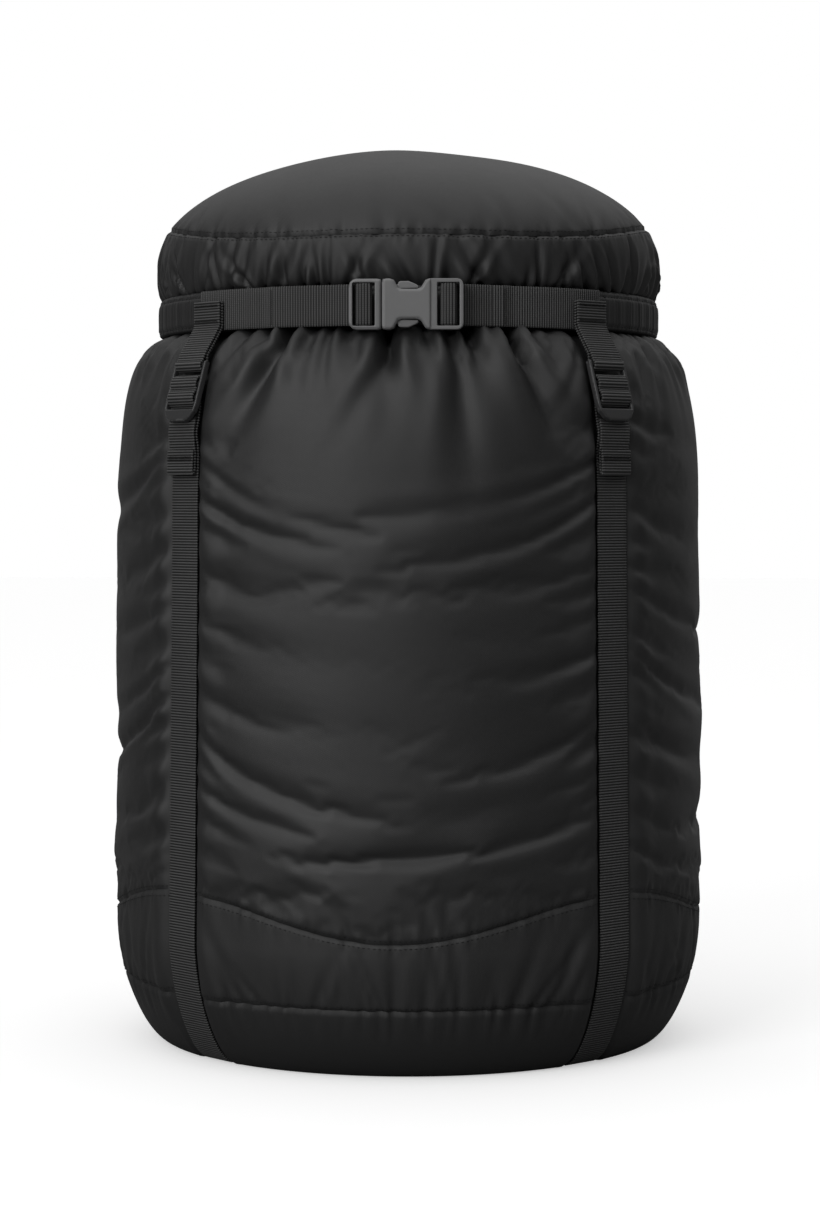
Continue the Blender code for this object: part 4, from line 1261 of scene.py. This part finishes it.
def panel_rows():
    """Lengths up the sack for each row and column, and the rows at which the panels meet."""
    bearing = all_round(ROUND)
    ones = np.ones(ROUND)
    start, base = 0.004 * ones, SACK.length_at(BASE_SEAM_HEIGHT) * ones
    seam, throat = boot_seam(bearing), SACK.whole * ones
    parts = [rows_between(start, base, STEP), rows_between(base, seam, STEP)[1:],
             rows_between(seam, throat, STEP)[1:]]
    rows = np.concatenate(parts)
    return bearing, rows, (len(parts[0]) - 1, len(parts[0]) + len(parts[1]) - 1)


GATHER_SPACING = 0.0105
# Bearing in degrees, length and slant of each of the deepest folds
DEEP_GATHERS = ((-22.6, 0.038, 0.35), (-1.5, 0.030, 0.0), (12.0, 0.050, 0.05), (15.4, 0.034, 0.1),
                (24.0, 0.044, 0.30))


def marked_gathers(bearing, drop, radius):
    """The few deepest folds under the front of the hem."""
    depth = np.zeros_like(bearing)
    for degrees, long, slant in DEEP_GATHERS:
        middle = math.radians(degrees)
        offset = between(bearing, middle) * radius - math.copysign(slant, middle) * drop
        fade = np.exp(-((np.maximum(drop, 0) / long) ** 2))
        depth += 1.6 * fade * valley(offset, 0.0029 * (1 + 0.9 * drop / long))
    return depth


def sack_grid():
    """The whole sack on one grid, and the rows of its two seams."""
    cloth = settings().cloth
    random = np.random.default_rng(cloth.seed)
    bearing, length, seams = panel_rows()
    bearing = np.broadcast_to(bearing, length.shape)
    radius, height = SACK.place(length)
    beside_strap = strap_distance(bearing, radius)
    crossing = np.interp(length, [CROSSING_RADIUS, CROSSING_EDGE], [layer(), 0])
    open_panel = ease((beside_strap - 0.0104) / 0.005)
    on_wall = ease((height - 0.085) / 0.03)
    sink = (STRAP_SINK + crossing) * (1 - ease((beside_strap - 0.0098) / 0.0030))
    stand = cloth.bulge * np.exp(-(((beside_strap - 0.019) / 0.008) ** 2)) * ease((height - 0.01) / 0.03)
    stand *= 1 - 0.75 * ease((height - 0.335) / 0.03)
    drop = THROAT_HEIGHT - height
    folds = cloth.swag_depth * swags(bearing, height, random) * ease((drop - 0.018) / 0.03)
    folds += 0.0011 * long_waves(bearing, height, random)
    proud = -sink + (stand + folds * on_wall) * open_panel
    boot = (height < 0.09) & (height > 0.012)
    hang = np.maximum(length - length[seams[0]], 0)
    gathered = hanging_gathers(bearing, hang, BELLY_RADIUS, random, GATHER_SPACING, (0.018, 0.050),
                               (0.0016, 0.0028))
    proud += np.where(boot, 0.0012 * gathered, 0) * open_panel * ease((height - 0.015) / 0.02)
    return SACK.on(bearing, length, proud), bearing, height, seams


def fine_sack():
    """The sack's cloth, filled by its stuffing, then cut finer with its seams drawn in."""
    cloth = settings().cloth
    points, bearing, height, seams = sack_grid()
    held = 1 - ease((strap_distance(bearing, np.hypot(points[..., 0], points[..., 1])) - 0.011) / 0.010)
    for row in seams:
        held[row] = np.maximum(held[row], 0.9)
    held = np.maximum(held, (height < 0.012) | (height > THROAT_HEIGHT - 0.004))
    held = np.maximum(held, (np.arange(len(points)) < seams[1])[:, None])
    points = refine(settle(points, held))
    fine_bearing = np.broadcast_to(all_round(points.shape[1]), points.shape[:2])
    free = ease((strap_distance(fine_bearing, np.hypot(points[..., 0], points[..., 1])) - 0.0106) / 0.004)
    normal = grid_normals(points)
    climb = climb_of(points)
    random = np.random.default_rng(cloth.seed + 1)
    drop = THROAT_HEIGHT - points[..., 2]
    gathered = hanging_gathers(fine_bearing, drop, THROAT_RADIUS, random, GATHER_SPACING, (0.012, 0.040),
                               (0.0014, 0.0030))
    shift = cloth.gather_depth * (0.50 * gathered + marked_gathers(fine_bearing, drop, THROAT_RADIUS))
    for row in (2 * seams[0], 2 * seams[1]):
        away = np.abs(climb - climb[row])[:, None]
        ripple = puckers(fine_bearing, BELLY_RADIUS, 0.0062, random)
        shift += cloth.seam_depth * groove(away, 0.0011)
        beside_seam = np.exp(-((away / 0.006) ** 2)) * (1 - 0.7 * np.exp(-((away / 0.001) ** 2)))
        shift += cloth.pucker_depth * ripple * beside_seam
    points = points + normal * (shift * free)[..., None]
    return points, (2 * seams[0], 2 * seams[1])


def cloth_piece(name, node, points, finish, cap=None):
    """A panel of the sack that stands for one of the frame's nodes."""
    obj = dress(link(name, sheet_mesh(name, points, cap)), finish)
    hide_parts(node)
    return obj


def sack_cloth():
    """Base, boot and wall, which meet at stitched seams."""
    points, (base, boot) = fine_sack()
    made = [
        cloth_piece("base", "base_panel", points[:base + 1], boot_finish(), "low"),
        cloth_piece("boot", "boot_band", points[base:boot + 1], boot_finish()),
        cloth_piece("wall", "sack_wall", points[boot:], sack_finish()),
        stitch_ring("base_seam_stitches", points, base + 1.4),
        stitch_ring("boot_seam_stitches", points, boot - 1.6),
        stitch_ring("wall_seam_stitches", points, boot + 1.2),
    ]
    for obj in made:
        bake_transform(obj)


def turned_cloth(profile, low, high, step, shape):
    """A finer grid on a turned profile, pushed out by shape(bearing, length, share)."""
    bearing = all_round(LID_ROUND)
    rows = rows_between(low(bearing), high(bearing), step)
    bearing = np.broadcast_to(bearing, rows.shape)
    share = np.broadcast_to(np.linspace(0, 1, len(rows))[:, None], rows.shape)
    return profile.on(bearing, rows, shape(bearing, rows, share))


def level_edge(length):
    """An edge at one length up a profile, as a function of the bearing."""
    return lambda bearing: length * np.ones_like(bearing)


def lid_cloth():
    """Side band, top panel and the seam between them."""
    cloth = settings().cloth
    random = np.random.default_rng(cloth.seed + 2)

    def band(bearing, rows, share):
        drop = rows - LID.length_at(LID_NECK_HEIGHT)
        gathered = hanging_gathers(bearing, np.maximum(drop, 0), LID_RADIUS, random, 0.0082, (0.012, 0.036),
                                   (0.0012, 0.0026))
        seam = cloth.seam_depth * groove((1 - share) * 0.034, 0.0012)
        ripple = cloth.pucker_depth * puckers(bearing, LID_RADIUS, 0.0060, random)
        ripple = ripple * np.exp(-(((1 - share) * 6) ** 2))
        return 0.0004 + cloth.lid_gather_depth * gathered * (1 - 0.35 * share) + seam + ripple

    def crown(bearing, rows, share):
        away = rows - lid_seam(bearing)
        gathered = hanging_gathers(bearing, away, LID_RADIUS, random, 0.014, (0.010, 0.026),
                                   (0.0024, 0.0042))
        seam = cloth.seam_depth * groove(away, 0.0012)
        ripple = cloth.pucker_depth * puckers(bearing, LID_RADIUS, 0.0060, random)
        ripple = ripple * np.exp(-((away / 0.005) ** 2))
        broad = 0.0009 * np.cos(3 * bearing + 0.7) * np.sin(share * math.pi)
        return 0.0009 * gathered * (1 - share) + seam + ripple + broad

    side = turned_cloth(LID, level_edge(LID.length_at(LID_NECK_HEIGHT)), lid_seam, 0.0011, band)
    top = turned_cloth(LID, lid_seam, level_edge(LID.whole - 0.002), 0.0018, crown)
    made = [
        cloth_piece("lid_side", "lid_side_band", side, sack_finish()),
        cloth_piece("lid_top", "lid_top_panel", top, sack_finish(), cap="high"),
        stitch_ring("lid_seam_stitches", top, 1.3),
        stitch_ring("lid_band_stitches", side, len(side) - 2.4),
    ]
    for obj in made:
        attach(obj, "lid")


def hem_cloth():
    """The hem: one strip turned up inside itself over the elastic, with a stitch row at both edges."""
    random = np.random.default_rng(settings().cloth.seed + 3)
    face, inner, top, bottom = HEM_RADIUS, HEM_RADIUS - 0.0072, HEM_TOP, HEM_BOTTOM
    outline = spaced(smooth([
        (face - 0.0050, top + 0.0006), (face - 0.0022, top + 0.0002), (face - 0.0006, top - 0.0022),
        (face, top - 0.0060), (face, bottom + 0.0070), (face - 0.0001, bottom + 0.0030),
        (face - 0.0010, bottom + 0.0007), (face - 0.0034, bottom), (inner + 0.0010, bottom + 0.0006),
        (inner, bottom + 0.0030), (inner, bottom + 0.0130)], 8), 0.0006)
    bearing = np.broadcast_to(all_round(HEM_ROUND), (len(outline), HEM_ROUND))
    height = outline[:, 1][:, None]
    ripple = 0.00042 * puckers(bearing, HEM_RADIUS, 0.0047, random)
    levels = (top - 0.0024, bottom + 0.0024)
    stitched = groove(height - levels[0], 0.0007) + groove(height - levels[1], 0.0007)
    outside = (outline[:, 0] > face - 0.003)[:, None]
    radius = outline[:, :1] + np.where(outside, ripple + 0.0005 * stitched, 0)
    points = turned(bearing, radius, height)[::-1]
    made = [cloth_piece("hem", "lid_hem", points, sack_finish())]
    for n, level in enumerate(levels):
        row = len(points) - 1 - int(np.argmin(np.where(outside, np.abs(height - level), 1)))
        made.append(stitch_ring(f"hem_stitches_{n + 1}", points, row))
    for obj in made:
        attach(obj, "lid")


def collar_cloth():
    """The mouth, drawn into pleats that meet at the top."""
    random = np.random.default_rng(settings().cloth.seed + 4)

    def pleats(bearing, rows, share):
        drawn = np.cos(COLLAR_PLEATS * bearing + 0.6 * np.sin(5 * bearing)) * ease(share * 1.6)
        loose = hanging_gathers(bearing, (1 - share) * 0.12, COLLAR_RADIUS, random, 0.012, (0.04, 0.09),
                                (0.0018, 0.003))
        return (0.0017 * drawn + 0.0007 * loose * share) * (1 - 0.5 * share)

    points = turned_cloth(COLLAR, level_edge(0), level_edge(COLLAR.whole), 0.0022, pleats)
    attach(cloth_piece("collar", "throat_collar", points, sack_finish()), "lid")


# Stage


FLOOR_REACH = 9
LIGHT_WIDTH = 1.2
LIT_PLACE = Vector((0, 0, 0.22))
CAMERA_TURN = math.radians(-0.03)  # the middle of the view lies a little beside the axis


def stage_floor():
    """White paper to the camera, which throws less light back at the sack, as between dark flags."""
    corners = FLOOR_REACH * np.array([(-1.0, -1, 0), (1, -1, 0), (1, 1, 0), (-1, 1, 0)])
    floor = link("floor", mesh_of("floor", corners, [(0, 1, 2, 3)]))
    made, tree, shader = new_finish("paper floor")
    shader.inputs["Base Color"].default_value = (0.92, 0.92, 0.92, 1)
    shader.inputs["Roughness"].default_value = 0.8
    shader.inputs["Specular IOR Level"].default_value = 0.0
    shader.inputs["Emission Color"].default_value = (1, 1, 1, 1)
    shader.inputs["Emission Strength"].default_value = settings().stage.floor_glow
    flagged, mix = tree.nodes.new("ShaderNodeBsdfDiffuse"), tree.nodes.new("ShaderNodeMixShader")
    bounce = settings().stage.floor_bounce
    flagged.inputs["Color"].default_value = (bounce, bounce, bounce, 1)
    tree.links.new(tree.nodes.new("ShaderNodeLightPath").outputs["Is Camera Ray"], mix.inputs["Fac"])
    tree.links.new(flagged.outputs[0], mix.inputs[1])
    tree.links.new(shader.outputs[0], mix.inputs[2])
    tree.links.new(mix.outputs[0], tree.nodes["Material Output"].inputs["Surface"])
    floor.data.materials.append(made)


def area_light(name, at, power):
    light = bpy.data.lights.new(name, "AREA")
    light.shape = "SQUARE"
    light.size, light.energy = LIGHT_WIDTH, power
    obj = link(name, light)
    obj.location = at
    obj.rotation_euler = (LIT_PLACE - Vector(at)).to_track_quat("-Z", "Y").to_euler()


def stage_world():
    """White to the camera. As a light it is bright overhead and behind, and dark round the sides."""
    stage = settings().stage
    world = bpy.data.worlds.new("studio")
    bpy.context.scene.world = world
    world.use_nodes = True
    tree = world.node_tree
    lit, seen = tree.nodes["Background"], tree.nodes.new("ShaderNodeBackground")
    split = tree.nodes.new("ShaderNodeSeparateXYZ")
    tree.links.new(tree.nodes.new("ShaderNodeTexCoord").outputs["Generated"], split.inputs[0])
    strength = stage.surround
    for axis, low, high, power in (("Z", 0.35, 0.85, stage.overhead), ("Y", 0.30, 0.80, stage.behind)):
        ramp = tree.nodes.new("ShaderNodeMapRange")
        ramp.interpolation_type = "SMOOTHSTEP"
        ramp.inputs["From Min"].default_value, ramp.inputs["From Max"].default_value = low, high
        ramp.inputs["To Max"].default_value = power
        tree.links.new(split.outputs[axis], ramp.inputs["Value"])
        strength = math_node(tree, "ADD", strength, ramp.outputs[0])
    tree.links.new(strength, lit.inputs["Strength"])
    for background in (lit, seen):
        background.inputs["Color"].default_value = (1, 1, 1, 1)
    mix, path = tree.nodes.new("ShaderNodeMixShader"), tree.nodes.new("ShaderNodeLightPath")
    tree.links.new(path.outputs["Is Camera Ray"], mix.inputs["Fac"])
    tree.links.new(lit.outputs[0], mix.inputs[1])
    tree.links.new(seen.outputs[0], mix.inputs[2])
    tree.links.new(mix.outputs[0], tree.nodes["World Output"].inputs["Surface"])


def camera():
    stage = settings().stage
    lens = bpy.data.cameras.new("camera")
    lens.lens, lens.sensor_width, lens.sensor_fit = stage.lens, 36, "AUTO"
    lens.dof.use_dof = False
    lens.clip_start, lens.clip_end = 0.05, 40
    obj = link("camera", lens)
    around = stage.azimuth
    obj.location = (math.sin(around) * stage.distance, -math.cos(around) * stage.distance, stage.height)
    obj.rotation_euler = (math.pi / 2 - stage.pitch, 0, around + CAMERA_TURN)
    bpy.context.scene.camera = obj


# Operators


class STUFFSACK_OT_stage(bpy.types.Operator):
    """Set up the floor, the light and the camera"""

    bl_idname = "stuff_sack.stage"
    bl_label = "Stage"

    def execute(self, context):
        stage = settings().stage
        context.scene.view_settings.view_transform = "Standard"
        stage_floor()
        stage_world()
        area_light("key", (-1.25, -2.15, 1.10), stage.key)
        area_light("fill", (2.4, -1.6, 1.0), stage.fill)
        camera()
        return {"FINISHED"}


class STUFFSACK_OT_sack(bpy.types.Operator):
    """Make the stuffed sack's base, boot and wall with their folds and seams"""

    bl_idname = "stuff_sack.sack"
    bl_label = "Sack"

    def execute(self, context):
        sack_cloth()
        return {"FINISHED"}


class STUFFSACK_OT_collar(bpy.types.Operator):
    """Make the drawn mouth and its eyelet's finish"""

    bl_idname = "stuff_sack.collar"
    bl_label = "Collar"

    def execute(self, context):
        collar_cloth()
        dress(bpy.data.objects["collar_eyelet"], eyelet_finish())
        return {"FINISHED"}


class STUFFSACK_OT_lid(bpy.types.Operator):
    """Make the lid's panels and its gathered hem"""

    bl_idname = "stuff_sack.lid"
    bl_label = "Lid"

    def execute(self, context):
        lid_cloth()
        hem_cloth()
        dress(bpy.data.objects["hem_elastic"], elastic_finish())
        return {"FINISHED"}


class STUFFSACK_OT_long_straps(bpy.types.Operator):
    """Make the two straps that cross under the base"""

    bl_idname = "stuff_sack.long_straps"
    bl_label = "Long straps"

    def execute(self, context):
        long_straps()
        return {"FINISHED"}


class STUFFSACK_OT_strap_ends(bpy.types.Operator):
    """Make the free tails with their sewn ends"""

    bl_idname = "stuff_sack.strap_ends"
    bl_label = "Strap ends"

    def execute(self, context):
        strap_ends()
        return {"FINISHED"}


class STUFFSACK_OT_lid_straps(bpy.types.Operator):
    """Make the short doubled straps that hold the ladder locks"""

    bl_idname = "stuff_sack.lid_straps"
    bl_label = "Lid straps"

    def execute(self, context):
        lid_straps()
        return {"FINISHED"}


class STUFFSACK_OT_belt(bpy.types.Operator):
    """Make the belt across the front of the hem"""

    bl_idname = "stuff_sack.belt"
    bl_label = "Belt"

    def execute(self, context):
        belt()
        return {"FINISHED"}


class STUFFSACK_OT_hardware(bpy.types.Operator):
    """Mould the buckle and the ladder locks"""

    bl_idname = "stuff_sack.hardware"
    bl_label = "Buckle and locks"

    def execute(self, context):
        for corner in CORNERS:
            moulded(f"lock_{corner}", f"ladder_lock_{corner}", f"lock_{corner}",
                    plastic_finish("lock plastic", settings().finish.locks))
        for name, node, body in (("socket", "buckle_socket", "lid"), ("plug", "buckle_plug", "plug"),
                                 ("upper_arm", "plug_arm_upper", "arm_upper"),
                                 ("lower_arm", "plug_arm_lower", "arm_lower")):
            # The buckle's light colour is painted sheen; its edges also get painted highlight and wear
            moulded(name, node, body, plastic_finish("buckle plastic", settings().finish.buckle))
        return {"FINISHED"}


STEPS = (
    STUFFSACK_OT_stage,
    STUFFSACK_OT_sack,
    STUFFSACK_OT_collar,
    STUFFSACK_OT_lid,
    STUFFSACK_OT_long_straps,
    STUFFSACK_OT_strap_ends,
    STUFFSACK_OT_lid_straps,
    STUFFSACK_OT_belt,
    STUFFSACK_OT_hardware,
)


class STUFFSACK_PT_panel(bpy.types.Panel):
    """All steps, with the settings that they read"""

    bl_label = "Stuff sack"
    bl_space_type = "VIEW_3D"
    bl_region_type = "UI"
    bl_category = "Stuff sack"

    def draw(self, context):
        layout = self.layout
        for step in STEPS:
            layout.operator(step.bl_idname)
        for group in ("cloth", "webbing", "hardware", "finish", "stage"):
            box = layout.box()
            box.label(text=group.capitalize())
            chosen = getattr(context.scene.stuff_sack, group)
            for name in type(chosen).__annotations__:
                box.prop(chosen, name)


CLASSES = (
    StuffSackCloth,
    StuffSackWebbing,
    StuffSackHardware,
    StuffSackFinish,
    StuffSackStage,
    StuffSackSettings,
    *STEPS,
    STUFFSACK_PT_panel,
)


def register():
    for each in CLASSES:
        bpy.utils.register_class(each)
    bpy.types.Scene.stuff_sack = PointerProperty(type=StuffSackSettings)


def unregister():
    del bpy.types.Scene.stuff_sack
    for each in reversed(CLASSES):
        bpy.utils.unregister_class(each)


def main():
    register()
    for step in STEPS:
        group, name = step.bl_idname.split(".")
        getattr(getattr(bpy.ops, group), name)()
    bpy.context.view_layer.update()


if __name__ == "__main__":
    main()
